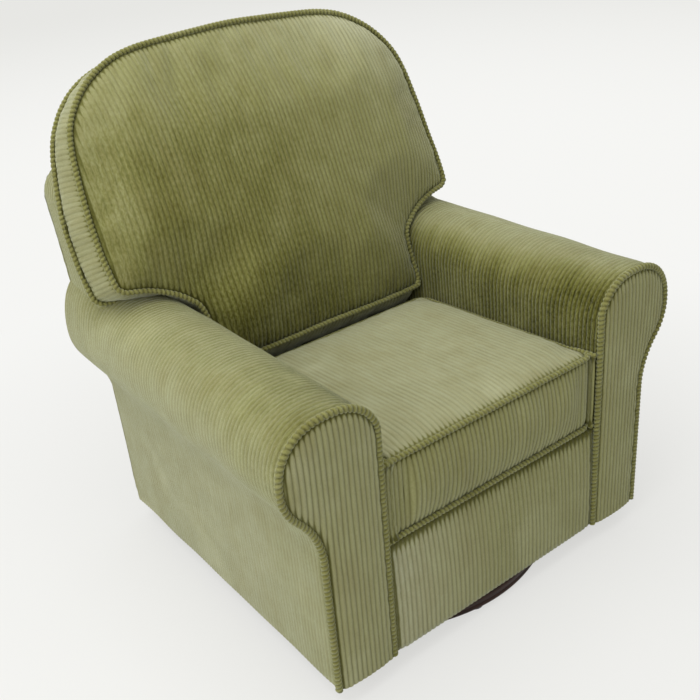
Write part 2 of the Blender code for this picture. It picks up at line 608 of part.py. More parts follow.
def make_seat_frame():
    """Side, front, rear and spring rails of the seat box, with the sinuous springs and the deck."""
    rail_rear = rear_y(FRAME_FOOT) - BACK_PANEL - FRAME_SETBACK
    for name, side in SIDES:
        near, far = sorted((side * ARM_INNER_X, side * (ARM_INNER_X + SIDE_RAIL_THICKNESS)))
        low = (near, FRONT_RAIL_Y + RAIL_THICKNESS + FIT, FRAME_FOOT)
        mesh = box_mesh(f"{name}_side_rail", low, (far, rail_rear, SIDE_RAIL_TOP))
        add_piece(f"{name}_side_rail", mesh, "frame_wood", body)
    reach = ARM_INNER_X + SIDE_RAIL_THICKNESS
    inside = ARM_INNER_X - FIT
    mesh = box_mesh(
        "front_rail", (-inside, FRONT_RAIL_Y, FRAME_FOOT), (inside, FRONT_RAIL_Y + RAIL_THICKNESS, RAIL_TOP)
    )
    add_piece("front_rail", mesh, "frame_wood", body)
    mesh = box_mesh(
        "back_rail",
        (-reach, rail_rear + FIT, FRAME_FOOT),
        (reach, rail_rear + FIT + RAIL_THICKNESS, FRAME_FOOT + BACK_RAIL_HEIGHT),
    )
    add_piece("back_rail", mesh, "frame_wood", body)
    mesh = box_mesh(
        "spring_rail",
        (-inside, SPRING_RAIL_Y, RAIL_TOP - SPRING_RAIL_HEIGHT),
        (inside, SPRING_RAIL_Y + RAIL_THICKNESS, RAIL_TOP),
    )
    add_piece("spring_rail", mesh, "frame_wood", body)

    start = FRONT_RAIL_Y + RAIL_THICKNESS / 2
    run = SPRING_RAIL_Y + RAIL_THICKNESS / 2 - start
    count = SPRING_WAVES * SPRING_POINTS
    for number in range(SPRING_COUNT):
        middle = (number - (SPRING_COUNT - 1) / 2) * SPRING_SPACING
        wire = bpy.data.curves.new(f"seat_spring_{number + 1}", "CURVE")
        wire.dimensions = "3D"
        wire.bevel_depth = SPRING_WIRE
        wire.bevel_resolution = 0
        wire.use_fill_caps = True
        line = wire.splines.new("POLY")
        line.points.add(count)
        for step, point in enumerate(line.points):
            swing = SPRING_SWING * math.sin(math.tau * step / SPRING_POINTS)
            point.co = (middle + swing, start + run * step / count, SPRING_Z, 1)
        add_piece(wire.name, wire, "bright_steel", body)

    low = (-inside, FRONT_RAIL_Y, DECK_TOP - DECK_THICKNESS)
    mesh = box_mesh("seat_deck", low, (inside, SPRING_RAIL_Y + RAIL_THICKNESS, DECK_TOP))
    add_piece("seat_deck", mesh, "deck_cloth", body)


def make_arms():
    """Each arm: a front and a rear post, the inside arm and roll, the outside panel and the facing."""
    rear_post_y = rear_y(FRAME_FOOT) - BACK_PANEL - FRAME_SETBACK
    post = arm_outline(ARM_PAD + FIT, FRAME_FOOT)
    post[-1:] = [
        (ARM_INNER_X + SIDE_RAIL_THICKNESS + FIT, FRAME_FOOT),
        (ARM_INNER_X + SIDE_RAIL_THICKNESS + FIT, SIDE_RAIL_TOP + FIT),
        (ARM_INNER_X + ARM_PAD + FIT, SIDE_RAIL_TOP + FIT),
    ]
    facing = arm_outline(0, CHAIR_BOTTOM)
    cover_foot = SIDE_RAIL_TOP + FIT
    wall_steps = [cover_foot + (ROLL_Z - cover_foot) * step / REAR_BENDS for step in range(REAR_BENDS)]
    cover = [(ARM_INNER_X, height) for height in wall_steps] + arm_top_line(0)
    panel_top = cover[-1][1] - FIT
    panel = [(ARM_FRONT_Y, panel_top), (ARM_FRONT_Y, CHAIR_BOTTOM)]
    for step in range(REAR_BENDS + 1):
        height = CHAIR_BOTTOM + (panel_top - CHAIR_BOTTOM) * step / REAR_BENDS
        panel.append((rear_y(height) - BACK_PANEL - FIT, height))
    for name, side in SIDES:
        for end, front in (("front", ARM_FRONT_Y), ("rear", rear_post_y - ARM_POST_THICKNESS)):
            mesh = flat_mesh(f"{name}_arm_{end}_post", [mirrored(post, side)], ARM_POST_THICKNESS)
            place = Matrix.Translation((0, front + ARM_POST_THICKNESS / 2, 0)) @ FACING_Y
            add_piece(f"{name}_arm_{end}_post", mesh, "frame_wood", body, place)

        form = bmesh.new()
        front_line = [form.verts.new((side * x, ARM_FRONT_Y, z)) for x, z in cover]
        rear_edge = [(side * x, rear_y(z - ARM_PAD) - BACK_PANEL - FIT, z) for x, z in cover]
        rear_line = [form.verts.new(point) for point in rear_edge]
        for i in range(len(cover) - 1):
            ring = (front_line[i], front_line[i + 1], rear_line[i + 1], rear_line[i])
            form.faces.new(ring if side > 0 else ring[::-1])
        add_shell(f"{name}_arm_cover", form, ARM_PAD)

        mesh = flat_mesh(f"{name}_outside_arm", [panel], ARM_PAD)
        place = Matrix.Translation((side * (ARM_OUTER_X - ARM_PAD / 2), 0, 0)) @ FACING_X
        add_piece(mesh.name, mesh, "corduroy", body, place)

        mesh = flat_mesh(f"{name}_arm_facing", [mirrored(facing, side)], FACING_THICKNESS, FACING_ROUNDING)
        place = Matrix.Translation((0, FRONT_Y + FACING_THICKNESS / 2, 0)) @ FACING_Y
        add_piece(mesh.name, mesh, "corduroy", body, place)

    half = ARM_INNER_X - FIT
    low = (-half, BORDER_FRONT_Y, CHAIR_BOTTOM)
    mesh = box_mesh("front_border", low, (half, BORDER_FRONT_Y + FRONT_BORDER_THICKNESS, DECK_TOP - FIT))
    add_piece("front_border", mesh, "corduroy", body)


def back_frame_arc():
    """The rounded right upper corner of the back frame, in X and Z, from the side to the top."""
    r = BACK_FRAME_CORNER
    steps = BACK_FRAME_CORNER_STEPS
    turns = [math.pi / 2 * step / steps for step in range(steps + 1)]
    middle_x, middle_z = BACK_FRAME_HALF_WIDTH - r, BACK_FRAME_TOP - r
    return [(middle_x + r * math.cos(t), middle_z + r * math.sin(t)) for t in turns]


def add_back_cover(name, line):
    """A padded cover over the back frame, along a line in X and Z, from the cushion to the outside back."""
    form = bmesh.new()
    front_edge = [(x, behind_cushion_y(z) + FIT, z) for x, z in line]
    rear_edge = [(x, rear_y(z - BACK_PANEL) - BACK_PANEL - FIT, z) for x, z in line]
    front_line = [form.verts.new(point) for point in front_edge]
    rear_line = [form.verts.new(point) for point in rear_edge]
    for i in range(len(line) - 1):
        form.faces.new((front_line[i], front_line[i + 1], rear_line[i + 1], rear_line[i]))
    add_shell(name, form, BACK_PANEL)


def make_back_frame():
    """Leaning posts and top rail, and the padded covers of the back frame behind the cushion."""
    lean = back_place()
    depth = BACK_BORDER + FIT
    inner_corner = BACK_FRAME_TOP - BACK_PANEL - FIT
    rail_top = (inner_corner - BACK_FOOT_Z + depth * math.sin(BACK_LEAN)) / math.cos(BACK_LEAN)
    rail_foot = rail_top - TOP_RAIL_HEIGHT
    for name, side in SIDES:
        near, far = sorted((side * (ARM_INNER_X - FIT), side * (ARM_INNER_X - FIT - POST_WIDTH)))
        mesh = box_mesh(
            f"{name}_back_post", (near, depth, POST_FOOT_RISE), (far, depth + POST_DEPTH, rail_foot - FIT)
        )
        add_piece(mesh.name, mesh, "frame_wood", body, lean)
    reach = BACK_FRAME_HALF_WIDTH - BACK_FRAME_CORNER
    mesh = box_mesh("back_top_rail", (-reach, depth, rail_foot), (reach, depth + TOP_RAIL_DEPTH, rail_top))
    add_piece("back_top_rail", mesh, "frame_wood", body, lean)

    arc = back_frame_arc()
    side_foot = roll_top(BACK_FRAME_HALF_WIDTH - BACK_PANEL) + FIT
    side_top = arc[0][1]
    heights = [side_foot + (side_top - side_foot) * step / REAR_BENDS for step in range(REAR_BENDS)]
    corner_end = arc[-1][0] - BACK_PANEL
    side_line = [(BACK_FRAME_HALF_WIDTH, height) for height in heights]
    side_line += arc + [(corner_end, BACK_FRAME_TOP)]
    top_line = [(FIT - corner_end, BACK_FRAME_TOP), (corner_end - FIT, BACK_FRAME_TOP)]
    add_back_cover("left_back_side_cover", mirrored(side_line, -1))
    add_back_cover("right_back_side_cover", side_line[::-1])
    add_back_cover("back_top_cover", top_line)

    share = (BACK_FRAME_HALF_WIDTH - ROLL_X) / ROLL_RADIUS
    meets = math.acos(share ** (ROLL_SQUARENESS / 2))
    half = [(ARM_OUTER_X, CHAIR_BOTTOM)] + hollow_arc(0)[::-1]
    half += roll_arc(0, -ROLL_UNDERCUT, meets, HOLLOW_STEPS * 2) + arc
    outline = half + mirrored(half[::-1], -1)
    form = flat_form([outline], BACK_PANEL)
    for bend in range(1, REAR_BENDS):
        height = CHAIR_BOTTOM + (BACK_FRAME_TOP - CHAIR_BOTTOM) * bend / REAR_BENDS
        everything = form.verts[:] + form.edges[:] + form.faces[:]
        bmesh.ops.bisect_plane(form, geom=everything, plane_co=(0, height, 0), plane_no=(0, 1, 0))
    for vert in form.verts:
        vert.co.z += REAR_Y - rear_y(vert.co.y)
    bmesh.ops.triangulate(form, faces=form.faces)
    mesh = mesh_from(form, "outside_back")
    place = Matrix.Translation((0, REAR_Y - BACK_PANEL / 2, 0)) @ FACING_Y
    add_piece("outside_back", mesh, "corduroy", body, place)


def smooth_line(points, steps):
    """A smooth curve through points, each stretch in equal steps of its parameter, without its last point."""
    vectors = [Vector(point) for point in points]
    line = []
    for i in range(len(vectors) - 1):
        before, after = vectors[max(i - 1, 0)], vectors[min(i + 2, len(vectors) - 1)]
        start, end = vectors[i], vectors[i + 1]
        reach = (end - start).length / 3
        leave, arrive = (end - before).normalized() * reach, (after - start).normalized() * reach
        for step in range(steps):
            t = step / steps
            s = 1 - t
            bend = 3 * s * s * t * (start + leave) + 3 * s * t * t * (end - arrive)
            line.append(s**3 * start + bend + t**3 * end)
    return line


def back_outline():
    """The back cushion's front seam, in X and along the lean: a stem between the arms, and ears over them."""
    shoulder_x = EAR_HALF_WIDTH - SHOULDER_DRAW
    right = [
        (0, 0),
        (STEM_HALF_WIDTH - EAR_ROUNDING, 0),
        (STEM_HALF_WIDTH, EAR_ROUNDING),
        (STEM_HALF_WIDTH + NECK_FLARE, EAR_RISE - NECK_DROP),
        (STEM_HALF_WIDTH + EAR_ROOT, EAR_RISE - EAR_ROUNDING),
        (EAR_HALF_WIDTH - EAR_ROUNDING, EAR_RISE),
        (EAR_HALF_WIDTH, EAR_RISE + EAR_ROUNDING),
        (EAR_HALF_WIDTH, (EAR_RISE + SHOULDER_RISE) / 2),
    ]
    for step in range(SHOULDER_STEPS + 1):
        turn = math.pi / 2 * step / SHOULDER_STEPS
        across = TOP_RUN + (shoulder_x - TOP_RUN) * math.cos(turn)
        up = SHOULDER_RISE + (BACK_LENGTH - TOP_DROP - SHOULDER_RISE) * math.sin(turn)
        right.append((across, up))
    right.append((0, BACK_LENGTH))
    line = smooth_line(right, LINE_STEPS)
    left = [Vector((-point.x, point.y)) for point in line[:0:-1]]
    return line + [Vector((0, BACK_LENGTH))] + left


def seam_distance(point, outline):
    """A smooth measure of how far a point lies from a seam, for a crown without ridges."""
    pull = 0
    for start, end in zip(outline, outline[1:] + outline[:1]):
        along = (end - start).normalized()
        before, after = (start - point).dot(along), (end - point).dot(along)
        off = (start - point - along * before).length_squared + SEAM_BLUR**2
        pull += (after / math.sqrt(after**2 + off) - before / math.sqrt(before**2 + off)) / off
    return math.sqrt(2 / pull)


def crown_share(point, outline):
    """Height of a stuffed cushion's crown, from 0 at its seam towards 1 far inside it."""
    return 1 - math.exp(-seam_distance(point, outline) / CROWN_RUN)


def rounded_rectangle(half_width, half_length, corner):
    """Points round a rectangle with round corners, with points along its straight sides too."""
    corners = []
    for number, (over, along) in enumerate(((1, 1), (-1, 1), (-1, -1), (1, -1))):
        middle = Vector((over * (half_width - corner), along * (half_length - corner)))
        turns = [math.pi / 2 * (number + step / CORNER_STEPS) for step in range(CORNER_STEPS + 1)]
        corners.append([middle + Vector((math.cos(t), math.sin(t))) * corner for t in turns])
    points = []
    for bend, following in zip(corners, corners[1:] + corners[:1]):
        points += bend
        points += [bend[-1].lerp(following[0], part / SIDE_STEPS) for part in range(1, SIDE_STEPS)]
    return points


def make_cushions():
    """The T-shaped back cushion, flat where it leans on its frame, and the loose seat cushion."""
    outline = back_outline()
    middle = Vector((0, BACK_LENGTH * BACK_MIDDLE))
    rings = [(share, None) for share in CROWN_SHARES] + [(1, 0)]
    rings += [(BORDER_BOW, BACK_BORDER / 2), (1, BACK_BORDER - SEAM_BLUR), (CROWN_SHARES[-1], BACK_BORDER)]
    rings += [(CROWN_SHARES[1], BACK_BORDER)]
    loops = []
    for share, depth in rings:
        loop = []
        for point in outline:
            place = middle + (point - middle) * share
            crown = BACK_CROWN * crown_share(place, outline) if depth is None else -depth
            loop.append(Vector((place.x, -crown, place.y)))
        loops.append(loop)
    add_piece("back_cushion", lofted_mesh("back_cushion", loops), "corduroy", body, back_place())

    half_width = ARM_INNER_X - SEAT_SIDE_GAP
    front = FRONT_Y + SEAT_FRONT_SETBACK
    half_length = (SEAT_REAR_Y - front) / 2
    middle = Vector((0, front + half_length))
    outline = rounded_rectangle(half_width, half_length, SEAT_CORNER)
    foot, seam = SEAT_FOOT_Z, SEAT_SEAM_Z
    rings = [(CROWN_SHARES[1], foot), (CROWN_SHARES[-1], foot), (1, foot + SEAM_BLUR)]
    rings += [(BORDER_BOW, (foot + seam) / 2), (1, seam)] + [(share, None) for share in CROWN_SHARES[::-1]]
    loops = []
    for share, height in rings:
        loop = []
        for point in outline:
            place = point * share
            crown = seam + SEAT_CROWN * crown_share(place, outline) if height is None else height
            loop.append(Vector((*(middle + place), crown)))
        loops.append(loop)
    add_piece("seat_cushion", lofted_mesh("seat_cushion", loops), "corduroy", cushion)


SIDES = (("left", -1), ("right", 1))
ENDS = (("front", -1), ("rear", 1))

for old in list(bpy.data.objects):
    bpy.data.objects.remove(old)
chair = new_collection("swivel_glider_chair")
cutters = new_collection("cutters")
base = empty_at("base_axis", (0, AXIS_Y, 0))
turntable = empty_at("swivel_axis", (0, AXIS_Y, PLATE_Z))
front_swing = empty_at("front_pivot_axis", (0, AXIS_Y - PIVOT_SPAN, UPPER_PIVOT_Z))
rear_swing = empty_at("rear_pivot_axis", (0, AXIS_Y + PIVOT_SPAN, UPPER_PIVOT_Z))
body = empty_at("carriage_axis", (0, AXIS_Y - PIVOT_SPAN, LOWER_PIVOT_Z))
cushion = empty_at("cushion_slide", (0, FRONT_Y, DECK_TOP))
make_base()
make_turntable()
make_links()
make_carriage()
make_seat_frame()
make_arms()
make_back_frame()
make_cushions()
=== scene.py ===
import math

import bpy
import numpy as np
from mathutils import Matrix, Vector
from mathutils.bvhtree import BVHTree


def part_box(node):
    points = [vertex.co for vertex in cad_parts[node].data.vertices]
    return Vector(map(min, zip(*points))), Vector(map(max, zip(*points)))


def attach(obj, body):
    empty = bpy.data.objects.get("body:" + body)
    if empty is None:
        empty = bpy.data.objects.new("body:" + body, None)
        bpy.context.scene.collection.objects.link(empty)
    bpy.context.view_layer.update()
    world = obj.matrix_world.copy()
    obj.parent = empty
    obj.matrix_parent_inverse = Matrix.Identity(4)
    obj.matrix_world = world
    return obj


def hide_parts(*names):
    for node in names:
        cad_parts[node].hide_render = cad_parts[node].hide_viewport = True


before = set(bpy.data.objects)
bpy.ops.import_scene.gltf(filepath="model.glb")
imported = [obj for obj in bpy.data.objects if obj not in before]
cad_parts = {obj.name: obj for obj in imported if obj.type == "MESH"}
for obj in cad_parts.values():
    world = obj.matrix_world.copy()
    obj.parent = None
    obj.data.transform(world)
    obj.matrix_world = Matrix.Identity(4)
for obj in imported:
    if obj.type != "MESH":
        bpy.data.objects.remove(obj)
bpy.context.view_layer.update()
bpy.context.scene.view_settings.view_transform = "Standard"


# Floor ring: a hardwood ring, turned with a rounded top and a bead along its lower outer edge, stained
# a dark reddish brown and varnished. It stands on the glides, and the steel cross is bolted on it.
RING_WIDTH = 0.045
RING_STEPS = 144
RING_ROUNDING = 0.006
RING_BEAD = 0.0085  # height of the bead
RING_GROOVE = 0.0016  # depth of the cut above the bead
RING_WELD = 1e-6
ROUND_POINTS = 7  # points in a rounded corner
HARD_EDGE = math.radians(50)  # edges that turn by more than this look sharp
PORE_SHADE = (0.45, 0.42, 0.4, 1)


def feed(tree, node, values):
    """Sets a node's inputs by their name or number; a socket as a value is linked."""
    for place, value in values.items():
        if isinstance(value, bpy.types.NodeSocket):
            tree.links.new(value, node.inputs[place])
        else:
            node.inputs[place].default_value = value
    return node


def add_node(tree, kind, **values):
    """A shader node: its settings are named in lower case, and its inputs with a capital."""
    made = tree.nodes.new("ShaderNode" + kind)
    for name, value in values.items():
        if name[0].islower():
            setattr(made, name, value)
    return feed(tree, made, {name.replace("_", " "): values[name] for name in values if name[0].isupper()})


def mix_colours(tree, factor, first, second, **settings):
    """A mix of two colours."""
    made = add_node(tree, "Mix", data_type="RGBA", **settings)
    return feed(tree, made, {0: factor, 6: first, 7: second}).outputs[2]


def work_out(tree, operation, *values):
    """What an operation makes of values and sockets."""
    made = add_node(tree, "Math", operation=operation)
    return feed(tree, made, dict(enumerate(values))).outputs[0]


def ramp(tree, value, low, high, first=0.0, last=1.0, curve="LINEAR"):
    """A value that goes from first to last while another goes from low to high."""
    made = add_node(tree, "MapRange", interpolation_type=curve, Value=value, From_Min=low, From_Max=high)
    return feed(tree, made, {"To Min": first, "To Max": last}).outputs[0]


def noise(tree, place, scale, detail, roughness):
    """Noise between 0 and 1."""
    made = add_node(tree, "TexNoise", Vector=place, Scale=scale, Detail=detail, Roughness=roughness)
    return made.outputs["Fac"]


def start_group(name, takes, gives):
    """An empty shader node group with the named sockets, what it is given, and its end node."""
    tree = bpy.data.node_groups.new(name, "ShaderNodeTree")
    for in_out, sockets in (("INPUT", takes), ("OUTPUT", gives)):
        for label, kind in sockets.items():
            tree.interface.new_socket(label, in_out=in_out, socket_type="NodeSocket" + kind)
    return tree, tree.nodes.new("NodeGroupInput").outputs, tree.nodes.new("NodeGroupOutput")


def start_material(name, **constants):
    """A material, its node tree and its shader, with the values that are the same all over it."""
    material = bpy.data.materials.new(name)
    material.use_nodes = True
    tree = material.node_tree
    values = {label.replace("_", " "): value for label, value in constants.items()}
    return material, tree, feed(tree, tree.nodes["Principled BSDF"], values)


def show_on(tree, shader, colour, height, depth):
    """Wires a colour to a shader, and a height in shares of depth."""
    bump = add_node(tree, "Bump", Strength=1.0, Distance=depth, Height=height)
    feed(tree, shader, {"Base Color": colour, "Normal": bump.outputs["Normal"]})


def make_wood_grain():
    """Streaks of early and late wood along one direction, with short dark pores."""
    takes = {"Light": "Color", "Dark": "Color", "Stretch": "Vector"}
    tree, given, ends = start_group("wood grain", takes, {"Color": "Color", "Height": "Float"})
    spot = add_node(tree, "TexCoord").outputs["Object"]
    stretched = add_node(tree, "VectorMath", operation="MULTIPLY")
    run = feed(tree, stretched, {0: spot, 1: given["Stretch"]}).outputs[0]
    streaks = noise(tree, run, scale=1.0, detail=6.0, roughness=0.62)
    specks = noise(tree, run, scale=6.0, detail=2.0, roughness=0.5)
    late, pores = ramp(tree, streaks, low=0.3, high=0.7), ramp(tree, specks, low=0.56, high=0.7)
    colour = mix_colours(tree, late, given["Dark"], given["Light"])
    pitted = mix_colours(tree, pores, colour, PORE_SHADE, blend_type="MULTIPLY")
    feed(tree, ends, {"Color": pitted, "Height": work_out(tree, "SUBTRACT", late, pores)})
    return tree


wood_grain = make_wood_grain()


def make_wood(name, light, dark, stretch, depth, **constants):
    """A wood in two colours, with its grain along the axis that stretch is smallest on."""
    material, tree, shader = start_material(name, **constants)
    grain = add_node(tree, "Group", node_tree=wood_grain, Light=light, Dark=dark, Stretch=stretch)
    show_on(tree, shader, grain.outputs["Color"], grain.outputs["Height"], depth)
    return material


stained_wood = make_wood(
    "stained_wood", light=(0.038, 0.013, 0.006, 1), dark=(0.014, 0.005, 0.003, 1), stretch=(26, 26, 140),
    depth=0.0002, Roughness=0.45, Coat_Weight=0.08, Coat_Roughness=0.2, Specular_IOR_Level=0.2,
)


def read_rows(values, label, width):
    """The values that a mesh holds under a label, as an array of rows."""
    rows = np.empty(len(values) * width, np.float32)
    values.foreach_get(label, rows)
    return rows.reshape(-1, width)


def vertex_places(mesh):
    """The places of a mesh's vertices, as an array of rows."""
    return read_rows(mesh.vertices, "co", 3).astype(float)


def move_vertices(mesh, places):
    """Puts a mesh's vertices at the rows of an array."""
    mesh.vertices.foreach_set("co", np.asarray(places, np.float32).ravel())
    mesh.update()


def start_piece(name, primitive, **settings):
    """A new piece, begun from a primitive."""
    bpy.ops.object.select_all(action="DESELECT")
    primitive(**settings)
    bpy.context.object.name = name
    return bpy.context.object


def edit_whole(*steps):
    """Takes steps of modelling on the whole of the active piece, and turns its faces outwards."""
    bpy.ops.object.mode_set(mode="EDIT")
    for operation, settings in (*steps, (bpy.ops.mesh.normals_make_consistent, {"inside": False})):
        bpy.ops.mesh.select_all(action="SELECT")
        operation(**settings)
    bpy.ops.object.mode_set(mode="OBJECT")


def turn_outline(name, outline, middle, steps):
    """A closed ring, spun about the upright line through middle from an outline of radius and height."""
    piece = start_piece(name, bpy.ops.mesh.primitive_circle_add, vertices=len(outline))
    radii, heights = np.array(outline).T
    move_vertices(piece.data, np.column_stack((middle[0] + radii, middle[1] + 0 * radii, heights)))
    turn = {"steps": steps, "angle": math.tau, "center": (*middle[:2], 0), "axis": (0, 0, 1)}
    edit_whole((bpy.ops.mesh.spin, turn), (bpy.ops.mesh.remove_doubles, {"threshold": RING_WELD}))
    bpy.ops.object.shade_smooth_by_angle(angle=HARD_EDGE)
    return piece


def corner_arc(middle, radius, first, last):
    """Points of an arc between two angles in degrees."""
    turns = np.radians(np.linspace(first, last, ROUND_POINTS))
    return [(middle[0] + radius * math.cos(t), middle[1] + radius * math.sin(t)) for t in turns]


ring_low, ring_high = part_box("base_ring")
ring_middle = (ring_low + ring_high) / 2
ring_outer = (ring_high.x - ring_low.x) / 2
ring_inner = ring_outer - RING_WIDTH
bead_middle = ring_low.z + RING_BEAD / 2
bead_top = ring_low.z + RING_BEAD + RING_GROOVE
bead_edge = ring_outer - RING_BEAD / 2
shoulder = ring_high.z - RING_ROUNDING
ring_outline = [
    (ring_inner, ring_low.z),
    *corner_arc((bead_edge, bead_middle), RING_BEAD / 2, -90, 60),
    (bead_edge, bead_top),
    (ring_outer - RING_GROOVE, bead_top),
    *corner_arc((ring_outer - RING_GROOVE - RING_ROUNDING, shoulder), RING_ROUNDING, 0, 90),
    *corner_arc((ring_inner + RING_ROUNDING, shoulder), RING_ROUNDING, 90, 180),
]
floor_ring = turn_outline("floor_ring", ring_outline, ring_middle, RING_STEPS)
floor_ring.data.materials.append(stained_wood)
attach(floor_ring, "base")
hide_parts("base_ring")


# Floor glides: four moulded black plastic buttons, each on a threaded stem through the ring. Their
# faces carry a fine moulded grain and a grey scuffing.
def make_mottle():
    """Soft mottling for coats and mouldings: wide patches for colour, and a fine grain for height."""
    takes = {"Plain": "Color", "Marked": "Color", "Patches": "Float", "Grain": "Float"}
    tree, given, ends = start_group("mottle", takes, {"Color": "Color", "Height": "Float", "Mask": "Float"})
    spot = add_node(tree, "TexCoord").outputs["Object"]
    patches = noise(tree, spot, given["Patches"], detail=5.0, roughness=0.6)
    mask = ramp(tree, patches, low=0.42, high=0.75)
    colour = mix_colours(tree, mask, given["Plain"], given["Marked"])
    grain = noise(tree, spot, given["Grain"], detail=2.0, roughness=0.5)
    feed(tree, ends, {"Color": colour, "Height": grain, "Mask": mask})
    return tree


mottle = make_mottle()


def make_coat(name, plain, marked, patches, grain, depth, smooth, rough, **constants):
    """A mottled finish between two colours, with its roughness between smooth and rough."""
    material, tree, shader = start_material(name, **constants)
    looks = {"Plain": plain, "Marked": marked, "Patches": patches, "Grain": grain}
    marks = add_node(tree, "Group", node_tree=mottle, **looks)
    feed(tree, shader, {"Roughness": ramp(tree, marks.outputs["Mask"], 0.0, 1.0, smooth, rough)})
    show_on(tree, shader, marks.outputs["Color"], marks.outputs["Height"], depth)
    return material


def finish_nodes(material, *names):
    """Gives CAD nodes that keep their shape their finish."""
    for name in names:
        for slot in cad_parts[name].material_slots:
            slot.material = material


glide_plastic = make_coat(
    "glide_plastic", plain=(0.018, 0.018, 0.019, 1), marked=(0.06, 0.06, 0.06, 1),
    patches=60, grain=900, depth=0.0002, smooth=0.42, rough=0.65,
)
finish_nodes(glide_plastic, *[f"floor_glide_{number}" for number in range(1, 5)])


# Steel cross, swivel plate, side plates and carriage rails: flat and folded steel, punched, welded and
# coated with black powder, which leaves a fine orange-peel surface.
black_steel = make_coat(
    "black_steel", plain=(0.020, 0.020, 0.021, 1), marked=(0.038, 0.036, 0.034, 1),
    patches=14, grain=420, depth=0.00025, smooth=0.40, rough=0.58,
)
finish_nodes(black_steel, "base_cross", "swivel_plate", "front_cross_tube", "rear_cross_tube")
finish_nodes(black_steel, "left_side_plate", "right_side_plate", "left_carriage_rail", "right_carriage_rail")


# Bearing races, bolt, rocker shafts, links and pins: bright zinc-plated steel, slightly clouded by the
# plating bath.
bright_steel = make_coat(
    "bright_steel", plain=(0.56, 0.56, 0.55, 1), marked=(0.42, 0.42, 0.40, 1),
    patches=38, grain=700, depth=0.0001, smooth=0.24, rough=0.42, Metallic=1.0,
)
finish_nodes(bright_steel, "lower_race", "upper_race", "pivot_bolt")
for end in ("front", "rear"):
    finish_nodes(bright_steel, f"{end}_rocker_shaft")
    for side in ("left", "right"):
        finish_nodes(bright_steel, f"{end}_{side}_link", f"{end}_{side}_link_pin")


# Bearing ring and shaft bushes: moulded natural nylon, an off-white that goes yellow in patches.
nylon = make_coat(
    "nylon", plain=(0.62, 0.59, 0.50, 1), marked=(0.48, 0.43, 0.32, 1),
    patches=30, grain=600, depth=0.0001, smooth=0.36, rough=0.5, Subsurface_Weight=0.1,
)
finish_nodes(nylon, "bearing_ring")
for end in ("front", "rear"):
    finish_nodes(nylon, f"{end}_left_pivot_bush", f"{end}_right_pivot_bush")


# Wooden frame: sawn and planed hardwood rails and posts, glued and screwed, left bare inside the
# covers. The grain runs along each stick.
FRAME_LIGHT = (0.50, 0.34, 0.18, 1)
FRAME_DARK = (0.33, 0.20, 0.095, 1)
GRAIN_ALONG = 7
GRAIN_ACROSS = 95
GRAIN_DEPTH = 0.0003


def make_frame_wood(axis):
    """The frame's wood for sticks that run along an axis."""
    stretch = [GRAIN_ALONG if direction == axis else GRAIN_ACROSS for direction in "xyz"]
    return make_wood(f"frame_wood_{axis}", FRAME_LIGHT, FRAME_DARK, stretch, GRAIN_DEPTH, Roughness=0.62)


finish_nodes(make_frame_wood("x"), "front_rail", "back_rail", "spring_rail", "back_top_rail")
finish_nodes(make_frame_wood("y"), "left_side_rail", "right_side_rail")
upright_wood = make_frame_wood("z")
for side in ("left", "right"):
    finish_nodes(upright_wood, f"{side}_arm_front_post", f"{side}_arm_rear_post", f"{side}_back_post")


# Seat springs: three sinuous springs, bent from bright spring wire into even waves and clipped to the
# front rail and the spring rail.
SPRING_WIRE = 0.002
SPRING_WAVES = 9
SPRING_POINTS = 20  # points in a wave
SPRING_FULLNESS = 0.7  # below 1, the bends are broader than a sine's
for number in range(1, 4):
    spring_low, spring_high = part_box(f"seat_spring_{number}")
    spring_middle = (spring_low + spring_high) / 2
    swing = (spring_high.x - spring_low.x) / 2 - SPRING_WIRE
    steps = np.linspace(0, 1, SPRING_WAVES * SPRING_POINTS + 1)
    waves = np.sin(math.tau * SPRING_WAVES * steps)
    wire = start_piece(f"sinuous_spring_{number}", bpy.ops.curve.primitive_nurbs_path_add).data
    wire.splines.clear()
    line = wire.splines.new("POLY")
    line.points.add(len(steps) - 1)
    for point, step, wave in zip(line.points, steps, waves):
        along = spring_low.y + SPRING_WIRE + step * (spring_high.y - spring_low.y - 2 * SPRING_WIRE)
        across = spring_middle.x + swing * math.copysign(abs(wave) ** SPRING_FULLNESS, wave)
        point.co = (across, along, spring_middle.z, 1)
    wire.bevel_depth, wire.bevel_resolution, wire.use_fill_caps = SPRING_WIRE, 2, True
    bpy.ops.object.convert(target="MESH")
    spring = bpy.context.object
    bpy.ops.object.shade_smooth()
    spring.data.materials.clear()
    spring.data.materials.append(bright_steel)
    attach(spring, "chair")
    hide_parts(f"seat_spring_{number}")


# Seat deck: a thin felt pad under a plain woven cloth, stretched over the springs and stapled to the
# rails. It is quilted in shallow rows, and the seat cushion rests on it.
DECK_CELL = 0.075
DECK_QUILTING = 0.0016
DECK_ROUNDING = 0.003
DECK_CUTS = 100  # of its top, for the quilting
DECK_PUFF = 0.35  # below 1, the cells are full and the rows between them narrow
WEAVE_THREAD = 0.0011
WEAVE_DEPTH = 0.0005
THREAD_SHADES = ((0.09, 0.10, 0.06, 1), (0.19, 0.20, 0.13, 1))
THREAD_FADE = (0.8, 0.78, 0.72, 1)


